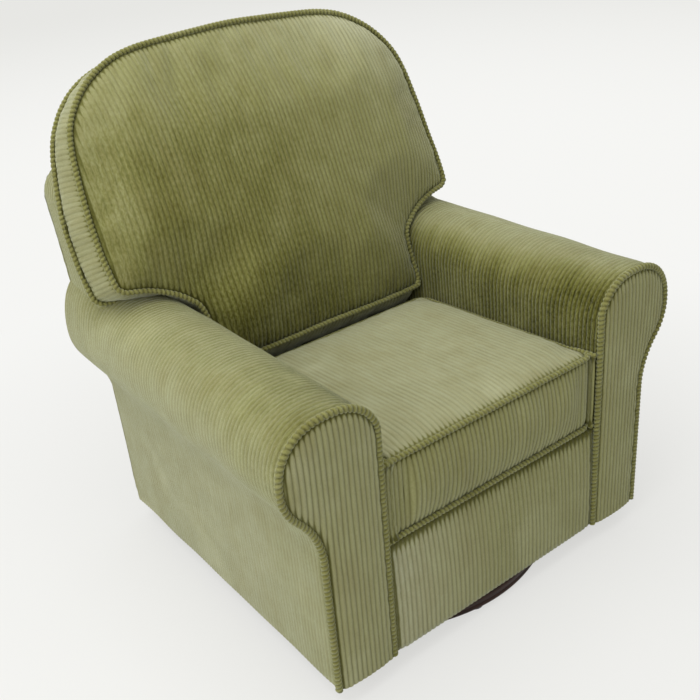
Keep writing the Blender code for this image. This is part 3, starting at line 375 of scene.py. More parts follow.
def make_deck_cloth():
    """A plain weave of two threads that run over and under each other."""
    material, tree, shader = start_material("deck_cloth", Roughness=0.85, Sheen_Weight=0.15)
    spot = add_node(tree, "TexCoord").outputs["Object"]
    threads = []
    for turn in (0, math.pi / 2):
        turned = add_node(tree, "Mapping", Vector=spot, Rotation=(0, 0, turn)).outputs[0]
        waves = add_node(tree, "TexWave", Vector=turned, Scale=math.pi / (10 * WEAVE_THREAD))
        threads.append(waves.outputs["Fac"])
    weave = work_out(tree, "MAXIMUM", *threads)
    colour = mix_colours(tree, weave, *THREAD_SHADES)
    fading = noise(tree, spot, scale=9.0, detail=5.0, roughness=0.5)
    faded = mix_colours(tree, fading, colour, THREAD_FADE, blend_type="MULTIPLY")
    show_on(tree, shader, faded, weave, WEAVE_DEPTH)
    return material


deck_low, deck_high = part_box("seat_deck")
deck = start_piece("quilted_deck", bpy.ops.mesh.primitive_cube_add, size=1)
deck_size, deck_middle = np.array(deck_high - deck_low), np.array((deck_low + deck_high) / 2)
move_vertices(deck.data, vertex_places(deck.data) * deck_size + deck_middle)
bpy.ops.object.mode_set(mode="EDIT")
bpy.ops.mesh.select_all(action="SELECT")
bpy.ops.mesh.bevel(offset=DECK_ROUNDING, segments=3, affect="EDGES")
bpy.ops.mesh.select_mode(type="FACE")
bpy.ops.mesh.select_all(action="DESELECT")
bpy.ops.object.mode_set(mode="OBJECT")
max(deck.data.polygons, key=lambda face: face.center.z).select = True
bpy.ops.object.mode_set(mode="EDIT")
bpy.ops.mesh.subdivide(number_cuts=DECK_CUTS)
bpy.ops.mesh.select_mode(type="VERT")
bpy.ops.object.mode_set(mode="OBJECT")
quilted = vertex_places(deck.data)
on_top = quilted[:, 2] > deck_high.z - DECK_ROUNDING / 4
cells = np.abs(np.sin(math.pi * quilted[:, 0] / DECK_CELL) * np.sin(math.pi * quilted[:, 1] / DECK_CELL))
quilted[:, 2] -= on_top * DECK_QUILTING * (1 - cells**DECK_PUFF)
move_vertices(deck.data, quilted)
bpy.ops.object.shade_smooth_by_angle(angle=HARD_EDGE)
deck.data.materials.append(make_deck_cloth())
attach(deck, "chair")
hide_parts("seat_deck")


# Front border: a padded panel of wide-wale corduroy below the seat cushion, pulled over the front rail
# with the cords upright, and folded under at its foot. The corduroy of the whole chair starts here.
WALE = 0.0095  # from one cord to the next
WALE_HEIGHT = 0.0017
WALE_FULLNESS = 0.7  # below 1, the cords are broad and the grooves narrow
WALE_COLUMNS = 6  # columns of the mesh in a cord
WALE_WANDER = 0.4  # how far a cord strays sideways, in columns
WANDER_RUN = 0.047  # along the cord, for one stray
WANDER_SHIFT = (2.1, 0.9)  # how much later each cord strays than the one before
FLATTENING = 0.66  # how much lower the cords are where their pile lies flat
CLOTH_ROW = 0.008  # rows of the mesh along the cords
CLOTH_THICKNESS = 0.002
HEM_ROUNDING = 0.003
HEM_TURN = 0.016  # how far the cloth is folded under
CLOTH_EDGE = math.radians(70)  # edges of a cut that turn by more than this look sharp
CLOTH_WELD = 2e-5
SEAM_TUCK = 0.0045  # how far the cloth dips into a seam
TUCK_RUN = 0.008
SEAM_SHADE = 0.0125  # cloth this near a seam is darkened with painted shade, in the gap beside the welt
SEAM_PIN = 0.003  # cloth this near a seam does not stray
PUCKER = 0.0018  # how far the cloth is gathered up and down beside a seam
PUCKER_RUN = 0.024
GATHERS = (0.0041, 0.0052)  # the sizes of the gathers, across the chair and up it
GATHER_DRIFTS = (0.030, 0.035)  # over which they wander
GATHER_WANDER = 2
UNSEWN = 1.0  # a distance for cloth that is far from any seam
BORDER_SWELL = 0.003
BORDER_FULLNESS = (0.4, 0.6)  # of its swell, across and up
BORDER_ROWS = 28
BORDER_FACE = (0.020, 0.012)  # from its foot and its top to its flat face
BORDER_TOP_ROUNDING = 0.010
FACE_POINTS = 12
BORDER_ENDS = 0.012  # how far its ends run in behind the facings
BORDER_RECESS = 0.016  # how far its top lies back, under the seat cushion
RECESS_FULLNESS = 0.5
BORDER_SHADOW = 0.5  # how fast it comes out of the dark below the seat cushion
# the border's laid pile with its painted sheen, and its painted light and shade
BORDER_LIE_AND_SHEEN = 0.3
BORDER_PAINTED_SHADING = 1.07
BORDER_LEFT_PAINTED_LIGHT = 0.40  # painted light: how much lighter it is at its left end
BORDER_LEFT = (0.05, 0.5)  # the shares across it over which that fades

PILE_DEPTH = 0.0006
PILE_TIP = (0.250, 0.249, 0.092, 1)
PILE_LAID_SHEEN = (0.250, 0.251, 0.128, 1)  # where the pile lies flat it is greyer and paler, which is in part a painted pale sheen
# the grooves' colour: the ground of the cloth, darkened further with painted shade
PILE_ROOT_SHADE = (0.105, 0.100, 0.030, 1)
PILE_RUBBED = (0.330, 0.330, 0.165, 1)
PILE_BRUSHED = (0.198, 0.184, 0.068, 1)
PILE_BLOOM = (0.88, 0.93, 0.76, 1)
BLUE_FALL = 2.0  # where painted shade and unevenness darken the pile, it is deeper in colour: its blue falls faster than its red and green
SHADE_REACH = (1.5, 0.8)  # how far a seam's shade reaches in a groove, and how much less on a cord
SHADE_RUN = (0.45, 1.15)  # the shares of that between which it fades
SHADE_DARKEST = 0.55
RIDGE_PAINTED_SHADING = (0.45, 1.0)  # from deep painted shade to painted light,
RIDGE_SHARPNESS = (1.9, 1.0)  # the crests in the tip colour, thin painted highlights in deep shade, go from narrow to broad
TUFT_LIGHT = (0.75, 0.4)  # how light a crest is between its tufts, and how much more on them
GROOVE_FILL = (0.6, 0.5)  # how much laid pile hides the grooves, and how much more in patches
FLECK_SHARE = 0.6  # how uneven the lightness is by flecks,
CLOUD_SHARE = 0.35  # and by clouds
EVEN_PAINTED_SHADING = 1.25  # where the painted light and shade are this light, the pile is even
TUFT_RELIEF = 0.7  # the tufts' share of the relief, beside the streaks'


def make_corduroy_pile():
    """Cut pile in cords: grooves darkened with painted shade, streaks where the pile leans, wide rubbed and
    brushed patches, and the painted light and shade kept on the mesh.
    """
    takes = dict.fromkeys(("Tip", "Laid", "Root", "Rubbed", "Brushed"), "Color")
    tree, given, ends = start_group("corduroy pile", takes, {"Color": "Color", "Height": "Float"})
    spot = add_node(tree, "TexCoord").outputs["Object"]
    cloth = add_node(tree, "UVMap", uv_map="cloth").outputs[0]
    kept = ("pile", "painted_shading", "lie_and_sheen", "seam")
    pile, painted_shading, lie_and_sheen, seam = [add_node(tree, "Attribute", attribute_name=name).outputs["Fac"] for name in kept]

    def marks(place, stretch, low, high, detail):
        scaled = add_node(tree, "Mapping", Vector=place, Scale=stretch).outputs[0]
        return ramp(tree, noise(tree, scaled, 1.0, detail, 0.6), low, high, curve="SMOOTHSTEP")

    def plus(first, second):
        return work_out(tree, "ADD", first, second)

    def minus(first, second):
        return work_out(tree, "SUBTRACT", first, second)

    def times(first, second):
        return work_out(tree, "MULTIPLY", first, second)

    streaks = marks(cloth, (110, 16, 1), 0.34, 0.66, 3)
    flecks = marks(cloth, (380, 130, 1), 0.3, 0.7, 3)
    clouds = marks(spot, (20, 20, 13), 0.3, 0.7, 3)
    patches = marks(cloth, (16, 26, 1), 0.3, 0.7, 3)
    tufts = marks(cloth, (900, 420, 1), 0.25, 0.75, 2)
    rubbed = marks(spot, (7, 7, 7), 0.50, 0.72, 4)
    brushed = marks(spot, (11, 11, 4.5), 0.50, 0.70, 4)
    reach = minus(SHADE_REACH[0] * SEAM_SHADE, times(pile, SHADE_REACH[1] * SEAM_SHADE))
    open_cloth = ramp(tree, work_out(tree, "DIVIDE", seam, reach), *SHADE_RUN, curve="SMOOTHSTEP")
    ridge = work_out(tree, "POWER", pile, ramp(tree, painted_shading, *RIDGE_PAINTED_SHADING, *RIDGE_SHARPNESS, "SMOOTHSTEP"))
    crest = times(times(ridge, plus(times(tufts, TUFT_LIGHT[1]), TUFT_LIGHT[0])), open_cloth)
    tip = mix_colours(tree, lie_and_sheen, given["Tip"], given["Laid"])
    wears = ((streaks, 0.45, "Brushed"), (brushed, 0.5, "Brushed"), (rubbed, 0.45, "Rubbed"))
    for wear, share, shade in wears:
        tip = mix_colours(tree, times(wear, share), tip, given[shade])
    # the grooves take the dark root colour, painted shade, unless laid pile fills them
    filled = times(lie_and_sheen, plus(times(patches, GROOVE_FILL[1]), GROOVE_FILL[0]))
    root_shade = mix_colours(tree, filled, given["Root"], tip)
    uneven = plus(times(flecks, FLECK_SHARE), times(clouds, CLOUD_SHARE))
    uneven = minus(uneven, (FLECK_SHARE + CLOUD_SHARE) / 2)
    lightness = plus(painted_shading, times(uneven, minus(EVEN_PAINTED_SHADING, painted_shading)))
    lightness = times(lightness, ramp(tree, open_cloth, 0.0, 1.0, SHADE_DARKEST, 1.0, "SMOOTHSTEP"))
    blue = work_out(tree, "POWER", lightness, BLUE_FALL)
    tone = add_node(tree, "CombineColor", Red=lightness, Green=lightness, Blue=blue).outputs[0]
    colour = mix_colours(tree, 1.0, mix_colours(tree, crest, root_shade, tip), tone, blend_type="MULTIPLY")
    relief = plus(times(tufts, TUFT_RELIEF), times(streaks, 1 - TUFT_RELIEF))
    feed(tree, ends, {"Color": colour, "Height": relief})
    return tree


corduroy_pile = make_corduroy_pile()


def make_corduroy():
    """The chair's corduroy: a matt pile that shows a pale bloom where it is seen along its surface."""
    material, tree, shader = start_material(
        "corduroy", Roughness=0.95, Sheen_Weight=0.5, Sheen_Roughness=0.42, Specular_IOR_Level=0.1
    )
    feed(tree, shader, {"Sheen Tint": PILE_BLOOM})
    colours = {"Tip": PILE_TIP, "Laid": PILE_LAID_SHEEN, "Root": PILE_ROOT_SHADE}
    colours |= {"Rubbed": PILE_RUBBED, "Brushed": PILE_BRUSHED}
    cords = add_node(tree, "Group", node_tree=corduroy_pile, **colours)
    show_on(tree, shader, cords.outputs["Color"], cords.outputs["Height"], PILE_DEPTH)
    return material


corduroy = make_corduroy()


def apply_modifier(piece, kind, **settings):
    """Adds a modifier to a piece and applies it."""
    bpy.ops.object.select_all(action="DESELECT")
    piece.select_set(True)
    bpy.context.view_layer.objects.active = piece
    modifier = piece.modifiers.new(kind.title(), kind)
    for name, value in settings.items():
        setattr(modifier, name, value)
    bpy.ops.object.modifier_apply(modifier=modifier.name)


def vertex_normals(mesh):
    """The normals of a mesh's vertices, as an array of rows."""
    return read_rows(mesh.vertex_normals, "vector", 3)


def start_cloth(name, wales, length, rows):
    """A flat grid with columns for its cords, and each vertex's share across and along it."""
    columns = wales * WALE_COLUMNS
    grid = {"x_subdivisions": columns, "y_subdivisions": rows, "size": 1}
    cloth = start_piece(name, bpy.ops.mesh.primitive_grid_add, **grid)
    across, along = (vertex_places(cloth.data)[:, :2] + 0.5).T
    layer = cloth.data.uv_layers[0]
    layer.name = "cloth"
    marks = read_rows(layer.data, "uv", 2) * (wales * WALE, length)
    layer.data.foreach_set("uv", marks.astype(np.float32).ravel())
    return cloth, across, along


def bulge(shares, fullness=1.0):
    """A swell that is 1 in the middle and 0 at both ends; below 1, fullness makes it broader."""
    return np.sin(math.pi * shares) ** fullness


def keep_values(mesh, name, values):
    """Keeps a value for each vertex of a mesh."""
    kept = mesh.attributes.new(name, "FLOAT", "POINT")
    kept.data.foreach_set("value", np.broadcast_to(values, len(mesh.vertices)).astype(np.float32))


def kept_values(mesh, name):
    """The values kept for a mesh's vertices."""
    return read_rows(mesh.attributes[name].data, "value", 1)[:, 0].astype(float)


def raise_cords(mesh, normals, height):
    """Lifts the cords of a laid cloth, gathers it at its seams, and keeps the height of its pile."""
    phase, seam, lie_and_sheen = [kept_values(mesh, name) for name in ("phase", "seam", "lie_and_sheen")]
    pile = np.abs(np.sin(math.pi * phase)) ** WALE_FULLNESS
    x, y, z = vertex_places(mesh).T
    gathers = np.sin(x / GATHERS[0] + GATHER_WANDER * np.sin(z / GATHER_DRIFTS[0]))
    gathers *= np.sin((y + z) / GATHERS[1] + GATHER_WANDER * np.sin(x / GATHER_DRIFTS[1]))
    lift = pile * height * (1 - FLATTENING * lie_and_sheen)
    lift -= SEAM_TUCK * np.exp(-seam / TUCK_RUN) + PUCKER * gathers * (1 - lie_and_sheen) * np.exp(-seam / PUCKER_RUN)
    move_vertices(mesh, vertex_places(mesh) + normals * lift[:, None])
    mesh.attributes.remove(mesh.attributes["phase"])
    keep_values(mesh, "pile", pile)


def lay_cloth(name, place, wales, length, painted_shading=1.0, lie_and_sheen=0.0, rows=None, flip=False):
    """A cut of corduroy whose cords run along it.

    place gives the points for shares across and along the cut, and how far each lies from a seam.
    painted_shading is the painted light and shade on the pile, laid out by the way it leans, and
    lie_and_sheen is how flat it lies, with a pale painted sheen where it lies flat: one value for each, or
    values for the shares across and along.
    """
    cloth, across, along = start_cloth(name, wales, length, rows or max(3, round(length / CLOTH_ROW)))
    mesh = cloth.data
    spots, seam = place(across, along)
    shift = WANDER_SHIFT[0] * np.sin(across * wales * WANDER_SHIFT[1])
    strays = np.sin(along * length / WANDER_RUN + shift)
    away = np.maximum(seam - SEAM_PIN, 0) / PUCKER_RUN
    held = bulge(across) * bulge(along) * (1 - np.exp(-(away**2)))
    strays = (WALE_WANDER * strays * np.sqrt(held))[:, None]
    steps = np.diff(spots, axis=0, append=spots[-1:])
    steps = np.where(strays > 0, steps, np.roll(steps, 1, axis=0))
    move_vertices(mesh, spots + strays * steps)
    keep_values(mesh, "phase", across * wales)
    keep_values(mesh, "seam", seam)
    for label, value in (("painted_shading", painted_shading), ("lie_and_sheen", lie_and_sheen)):
        keep_values(mesh, label, value(across, along) if callable(value) else value)
    apply_modifier(cloth, "WELD", merge_threshold=CLOTH_WELD)
    if flip:
        cloth.data.flip_normals()
    raise_cords(cloth.data, vertex_normals(cloth.data), WALE_HEIGHT)
    bpy.ops.object.shade_smooth()
    return cloth


def line_lengths(line):
    """The length along a line of points, from 0 at its start."""
    steps = np.linalg.norm(np.diff(line, axis=0), axis=1)
    return np.concatenate(([0], np.cumsum(steps)))


def along_line(line, shares):
    """The points of a line at shares of its length."""
    lengths = line_lengths(line)
    return np.column_stack([np.interp(shares * lengths[-1], lengths, part) for part in np.transpose(line)])


def line_spans(line, shares, step, closed=False):
    """The ways along a line from a step before shares of its length to a step after them."""
    ends = [(shares + way) % 1 if closed else shares + way for way in (step, -step)]
    return along_line(line, ends[0]) - along_line(line, ends[1])


def unit_rows(rows):
    """An array's rows, each made one long."""
    return rows / np.linalg.norm(rows, axis=1)[:, None]


def back_cloth(cloth):
    """Gives a laid cloth its backing, so that it is a closed sheet."""
    apply_modifier(cloth, "SOLIDIFY", thickness=CLOTH_THICKNESS, offset=-1)
    bpy.ops.object.shade_smooth_by_angle(angle=CLOTH_EDGE)
    cloth.data.materials.append(corduroy)


def hem_line(face, foot, inward):
    """Points of a hem, from under the chair round to the face above it."""
    turns = np.radians(np.linspace(90, 0, ROUND_POINTS))
    round_x = face + inward * HEM_ROUNDING * (1 - np.cos(turns))
    round_z = foot + HEM_ROUNDING * (1 - np.sin(turns))
    under = np.array([[face + inward * HEM_TURN, foot]])
    return np.vstack((under, np.column_stack((round_x, round_z))))


border_low, border_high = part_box("front_border")
face_rises = np.linspace(border_low.z + BORDER_FACE[0], border_high.z - BORDER_FACE[1], FACE_POINTS)
border_bend = (border_low.y + BORDER_TOP_ROUNDING, border_high.z - BORDER_TOP_ROUNDING)
border_line = np.vstack((
    hem_line(border_low.y, border_low.z, 1),
    np.column_stack((np.full(FACE_POINTS, border_low.y), face_rises)),
    corner_arc(border_bend, BORDER_TOP_ROUNDING, 180, 90),
    [(border_high.y, border_high.z)],
))


def place_border(across, along):
    """The placing of the border: between the facings, and from its hem to under the seat cushion."""
    spots = along_line(border_line, along)
    swell = BORDER_SWELL * bulge(across, BORDER_FULLNESS[0]) * bulge(along, BORDER_FULLNESS[1])
    height = np.clip((spots[:, 1] - border_low.z) / (border_high.z - border_low.z), 0, 1)
    swell = swell - BORDER_RECESS * bulge(across, RECESS_FULLNESS) * height**2
    x = border_low.x - BORDER_ENDS + across * (border_high.x - border_low.x + 2 * BORDER_ENDS)
    # below the seat cushion, the top of the border counts as a seam, so it takes the painted shade
    below = BORDER_SHADOW * (border_high.z - spots[:, 1])
    seam = np.maximum(np.minimum.reduce((x - border_low.x, border_high.x - x, below)), 0)
    return np.column_stack((x, spots[:, 0] - swell, spots[:, 1])), seam


def border_painted_shading(across, along):
    """Painted light on the border: lighter towards its left end."""
    return BORDER_PAINTED_SHADING + BORDER_LEFT_PAINTED_LIGHT * np.interp(across, BORDER_LEFT, (1, 0)) + 0 * along


border_wales = round((border_high.x - border_low.x) / WALE)
border_length = line_lengths(border_line)[-1]
front_border = lay_cloth(
    "front_border_cloth", place_border, border_wales, border_length, border_painted_shading, BORDER_LIE_AND_SHEEN, BORDER_ROWS
)
back_cloth(front_border)
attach(front_border, "chair")
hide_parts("front_border")


# Arms: one cut of corduroy for each arm, laid over a wadded wooden frame. It comes up the inside of the
# arm, goes over the roll, tucks in below it and runs down the outside to a hem, all in one piece.
ROLL_SQUARENESS = 2.3  # 2 is a round roll
ROLL_UNDERCUT = math.radians(42)  # how far the roll turns in below its widest point
REAR_SWEEP = 0.075  # how far the chair's rear leans out from foot to top
ROLL_POINTS = 70
HOLLOW_POINTS = 16
ARM_LAP = 0.0065  # from the front of the facing to where the cloth starts
ARM_SEAM = 0.005  # and from there to its seam
ARM_SWELL = 0.003
ARM_FULLNESS = 0.3  # of the swell along the arm
ARM_SWELL_RUN = (0.28, 0.7)  # where the outside starts to swell, and how far on, in shares of the way over
ARM_WAVES = (0.0012, 0.031, 0.052)  # how high its soft waves are, and how long, along the arm and over it
ARM_SLANTS = (3, 2)  # how far the waves slant
ARM_STEP = 0.004  # share of the way over the arm in which its direction is taken
ARM_RISE = 0.027  # how far the roll swells up at its rear end
ARM_RISE_RUN = (0.17, 0.28)  # between these depths
ARM_PAINTED_SHADING = {"left": (0.52, 0.78, 1.19), "right": (0.54, 1.02, 1.19)}  # painted shade inside, painted light and shade on the roll, darker on the left, painted light outside
# how flat the pile lies, with its pale painted sheen, at the same places
ARM_LIE_AND_SHEEN = (0.05, 0.7, 0.85)
ARM_TURNS = (0.26, 0.33, 0.60)  # where these are, in shares of the way over the arm
ARM_WAVER = 0.006  # how much the edges between them waver
WAVER_PACE = (29, 61)  # how fast, and how fast that changes
WAVER_DRIFT = 2
ARM_FRONT_TURN = (0.35, 0.035)  # up to where they come later towards the front, and how much
ARM_FRONT_PAINTED_SHADE = 0.15  # painted shade: how much darker it is next to the facing
ARM_FRONT_RUN = 0.3
EAR_PRESS = (0.72, 0.365, 0.055)  # where an ear presses the pile up, across and along, and how far round it
EAR_RUB = 0.9

cover_low, cover_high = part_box("right_arm_cover")
outside_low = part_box("right_outside_arm")[0]
rear_low, rear_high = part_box("outside_back")
roll_radius = (cover_high.x - cover_low.x) / 2
roll_x = (cover_low.x + cover_high.x) / 2
roll_z = cover_high.z - roll_radius
outside_places = vertex_places(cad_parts["right_outside_arm"].data)
arm_outer = outside_places[outside_places[:, 2] < outside_low.z + HEM_ROUNDING, 0].max()


def rear_y(height):
    """The chair's rear at a height: it leans out more and more towards the top."""
    share = (height - rear_low.z) / (rear_high.z - rear_low.z)
    return rear_high.y - REAR_SWEEP * (1 - np.clip(share, 0, 1) ** 3)


def rising(values, start, end):
    """A smooth step from 0 at start to 1 at end."""
    share = np.clip((values - start) / (end - start), 0, 1)
    return share * share * (3 - 2 * share)


def arm_rise(depth, height):
    """How far the roll swells up at its rear end, where the back frame presses into it."""
    return ARM_RISE * rising(depth, *ARM_RISE_RUN) * rising(height, roll_z, cover_high.z)


def arm_line():
    """The right arm's section in X and Z, from the foot of its inside to its hem outside."""
    turns = np.linspace(math.pi, -ROLL_UNDERCUT, ROLL_POINTS)
    sides, rises = np.cos(turns), np.sin(turns)
    power = np.where(rises > 0, 2 / ROLL_SQUARENESS, 1)
    roll = np.column_stack((
        roll_x + roll_radius * np.sign(sides) * np.abs(sides) ** power,
        roll_z + roll_radius * np.sign(rises) * np.abs(rises) ** power,
    ))
    hollow_radius = (roll[-1, 0] - arm_outer) / (1 - math.cos(ROLL_UNDERCUT))
    bends = np.linspace(ROLL_UNDERCUT, 0, HOLLOW_POINTS)[1:]
    hollow = np.column_stack((
        arm_outer + hollow_radius * (1 - np.cos(bends)),
        roll[-1, 1] - hollow_radius * (math.sin(ROLL_UNDERCUT) - np.sin(bends)),
    ))
    hem = hem_line(arm_outer, outside_low.z, -1)[::-1]
    return np.vstack(([(cover_low.x, cover_low.z)], roll, hollow, hem))


arm_section = arm_line()
arm_length = line_lengths(arm_section)[-1]
arm_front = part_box("right_arm_facing")[0].y + ARM_LAP
arm_wales = round((rear_high.y - REAR_SWEEP / 2 - arm_front) / WALE)


def arm_place(side):
    """The placing of an arm's cloth: from the facing to the rear, and over the arm from inside to outside."""
    def place(across, along):
        spots = along_line(arm_section, along)
        runs = unit_rows(line_spans(arm_section, along, ARM_STEP))
        rear = rear_y(spots[:, 1]) - CLOTH_THICKNESS
        depth = arm_front + across * (rear - arm_front)
        outside = np.clip((along - ARM_SWELL_RUN[0]) / ARM_SWELL_RUN[1], 0, 1)
        swell = ARM_SWELL * bulge(outside) * bulge(across, ARM_FULLNESS)
        waves = np.sin(depth / ARM_WAVES[1] + ARM_SLANTS[0] * along)
        swell += ARM_WAVES[0] * waves * np.sin(along * arm_length / ARM_WAVES[2] + ARM_SLANTS[1] * across)
        x = spots[:, 0] - runs[:, 1] * swell
        z = spots[:, 1] + runs[:, 0] * swell + arm_rise(depth, spots[:, 1])
        return np.column_stack((side * x, depth, z)), depth - arm_front + ARM_SEAM

    return place


def arm_turn(across, along):
    """The share of the way over the arm at which its pile turns and its painted light and shade change: a
    little later at the front.
    """
    waver = ARM_WAVER * np.sin(WAVER_PACE[0] * across + WAVER_DRIFT * np.sin(WAVER_PACE[1] * across))
    return along + waver - np.interp(across, (0, ARM_FRONT_TURN[0]), (ARM_FRONT_TURN[1], 0))


def arm_painted_shading(painted_shadings):
    """Painted light and shade on an arm: dark inside, where the pile lies upwards, and pale outside, where it
    lies downwards.
    """
    def painted_shading(across, along):
        front = np.interp(across, (0, ARM_FRONT_RUN), (ARM_FRONT_PAINTED_SHADE, 0))
        return np.interp(arm_turn(across, along), ARM_TURNS, painted_shadings) * (1 - front)

    return painted_shading


def arm_lie_and_sheen(across, along):
    """The pile lies flat on the roll, with a pale painted sheen, and is rubbed upright where an ear presses
    on it.
    """
    off = np.hypot(across - EAR_PRESS[0], along - EAR_PRESS[1]) / EAR_PRESS[2]
    return np.interp(arm_turn(across, along), ARM_TURNS, ARM_LIE_AND_SHEEN) * (1 - EAR_RUB * np.exp(-(off**2)))


for side_name, side in (("left", -1), ("right", 1)):
    painted_shading = arm_painted_shading(ARM_PAINTED_SHADING[side_name])
    arm = lay_cloth(
        f"{side_name}_arm_cloth", arm_place(side), arm_wales, arm_length, painted_shading, arm_lie_and_sheen, flip=side > 0
    )
    back_cloth(arm)
    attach(arm, "chair")
    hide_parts(f"{side_name}_arm_cover", f"{side_name}_outside_arm")


# Arm facings: a scroll-shaped board at the front of each arm, padded and covered with upright cords,
# and edged all round with a welt. The welt is a cord in a bias-cut strip, so its ribs lie aslant.
FACING_WELT = 0.0042  # radius of the cord in the welt
WELT_RIB = 0.0084
WELT_RIB_HEIGHT = 0.0023
WELT_SIDES = 12
# painted shade on the welts
WELT_PAINTED_SHADING = 0.88
FACING_POINTS = 500  # of its outline
FACING_CROWN = 0.0055
CROWN_RUN = 0.022
FACING_INSET = 0.002
FACING_DEPTH = 0.007
# painted light and shade on each facing, lighter on the left, and how flat its pile lies with its painted
# sheen
FACING_PAINTED_SHADING = {"left": 1.19, "right": 1.08}
FACING_LIE_AND_SHEEN = 0.25
EDGE_INSET = 0.0015  # of the outermost cords inside an outline


def weld_ends(normals):
    """Makes the normals of a grid's first and last rows the same, where they meet."""
    normals[0] = normals[-1] = (normals[0] + normals[-1]) / 2


def lay_ring(name, place, wales, length, painted_shading, lie_and_sheen, rows, tube=False, closed=True, height=WALE_HEIGHT):
    """A cut of corduroy closed round its length, or along its cords too where it is a tube."""
    cloth, across, along = start_cloth(name, wales, length, rows)
    mesh = cloth.data
    spots, seam = place(across, along)
    move_vertices(mesh, spots)
    values = {"phase": across * wales + along * tube, "seam": seam, "painted_shading": painted_shading, "lie_and_sheen": lie_and_sheen}
    for label, value in values.items():
        keep_values(mesh, label, value)
    normals = vertex_normals(mesh).reshape(rows + 1, -1, 3)
    if closed:
        weld_ends(normals.swapaxes(0, 1))
    if tube:
        weld_ends(normals)
    raise_cords(mesh, normals.reshape(-1, 3), height)
    apply_modifier(cloth, "WELD", merge_threshold=CLOTH_WELD)
    bpy.ops.object.shade_smooth()
    return cloth


def lay_welt(name, line, normal, radius, closed=False):
    """A ribbed welt along a flat line of points; normal is that of the plane it lies in."""
    line = np.asarray(line, float)
    ribs = round(line_lengths(line)[-1] / WELT_RIB)
    normal = np.asarray(normal, float)

    def place(across, along):
        spots = along_line(line, across)
        sides = np.cross(unit_rows(line_spans(line, across, 0.5 / len(line), closed)), normal)
        turn = (math.tau * along)[:, None]
        return spots + radius * (np.cos(turn) * sides + np.sin(turn) * normal), UNSEWN

    girth = math.tau * radius
    welt = lay_ring(name, place, ribs, girth, WELT_PAINTED_SHADING, 0.0, WELT_SIDES, True, closed, WELT_RIB_HEIGHT)
    edit_whole((bpy.ops.mesh.fill_holes, {"sides": 0}))
    welt.data.materials.append(corduroy)
    return welt


def join_pieces(name, pieces):
    """Sews pieces into one object."""
    bpy.ops.object.select_all(action="DESELECT")
    for piece in pieces:
        piece.select_set(True)
    bpy.context.view_layer.objects.active = pieces[0]
    bpy.ops.object.join()
    pieces[0].name = name
    return pieces[0]


def pad_cloth(cloth, depth):
    """Gives a laid cloth a pad behind it, as deep as depth to the rear, so that it is closed."""
    edit_whole((bpy.ops.mesh.extrude_region_move, {"TRANSFORM_OT_translate": {"value": (0, depth, 0)}}))
    bpy.ops.object.shade_smooth_by_angle(angle=CLOTH_EDGE)
    cloth.data.materials.append(corduroy)


def seam_distance(spots, line):
    """How far each of an array's rows lies from the nearest of a line's points."""
    return np.array([np.linalg.norm(line - spot, axis=1).min() for spot in spots])


facing_low, facing_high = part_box("right_arm_facing")
facing_line = arm_section[: -ROUND_POINTS - 1]
facing_line = np.vstack(([(cover_low.x, facing_low.z)], facing_line[1:], [(arm_outer, facing_low.z)]))
facing_dense = along_line(facing_line, np.linspace(0, 1, FACING_POINTS))
widest = facing_dense[:, 0].argmax()
facing_wales = round((facing_dense[widest, 0] - cover_low.x) / WALE)
upper_chain = facing_dense[: widest + 1]
lower_chain = facing_dense[: widest - 1 : -1]
facing_reach = (cover_low.x + EDGE_INSET, facing_dense[widest, 0] - EDGE_INSET)
facing_rise = facing_high.z - facing_low.z


def facing_ends(x):
    """The lowest and highest points of the facing at distances across it."""
    foot = np.interp(x, np.maximum.accumulate(lower_chain[:, 0]), lower_chain[:, 1])
    return foot, np.interp(x, np.maximum.accumulate(upper_chain[:, 0]), upper_chain[:, 1])


def facing_place(side):
    """The placing of a facing's cloth: across it, and up from its foot."""
    def place(across, along):
        x = facing_reach[0] + across * (facing_reach[1] - facing_reach[0])
        z = np.clip(facing_low.z + along * facing_rise, *facing_ends(x))
        gap = seam_distance(np.column_stack((x, z)), facing_dense)
        crown = FACING_CROWN * (1 - np.exp(-gap / CROWN_RUN))
        return np.column_stack((side * x, facing_low.y + FACING_INSET - crown, z)), gap

    return place


for side_name, side in (("left", -1), ("right", 1)):
    painted_shading = FACING_PAINTED_SHADING[side_name]
    panel = lay_cloth(
        f"{side_name}_facing", facing_place(side), facing_wales, facing_rise, painted_shading, FACING_LIE_AND_SHEEN, flip=side < 0
    )
    pad_cloth(panel, FACING_DEPTH)
    rim_x = side * np.maximum(facing_dense[:, 0], cover_low.x + FACING_WELT)
    rim_y = np.full(FACING_POINTS, facing_low.y + FACING_WELT)
    rim = np.column_stack((rim_x, rim_y, facing_dense[:, 1]))
    welt = lay_welt(f"{side_name}_facing_welt", rim, (0, -1, 0), FACING_WELT)
    facing = join_pieces(f"{side_name}_facing", [panel, welt])
    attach(facing, "chair")
    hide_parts(f"{side_name}_arm_facing")


# Outside back: one panel over the whole rear, from the hem up to the rounded top of the back frame and
# out over the ends of the arms. Its cords are upright and its edges are blind-tacked.
FRAME_CORNER = 0.050
OUTSIDE_SWELL = 0.006
OUTSIDE_RUN = 0.03
OUTSIDE_INSET = 0.003
OUTSIDE_DEPTH = 0.006

block_low, block_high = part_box("right_back_side_cover")
frame_half = block_high.x
top_cover_low, top_cover_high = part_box("back_top_cover")
frame_top = top_cover_high.z
outside_rise = rear_high.z - rear_low.z


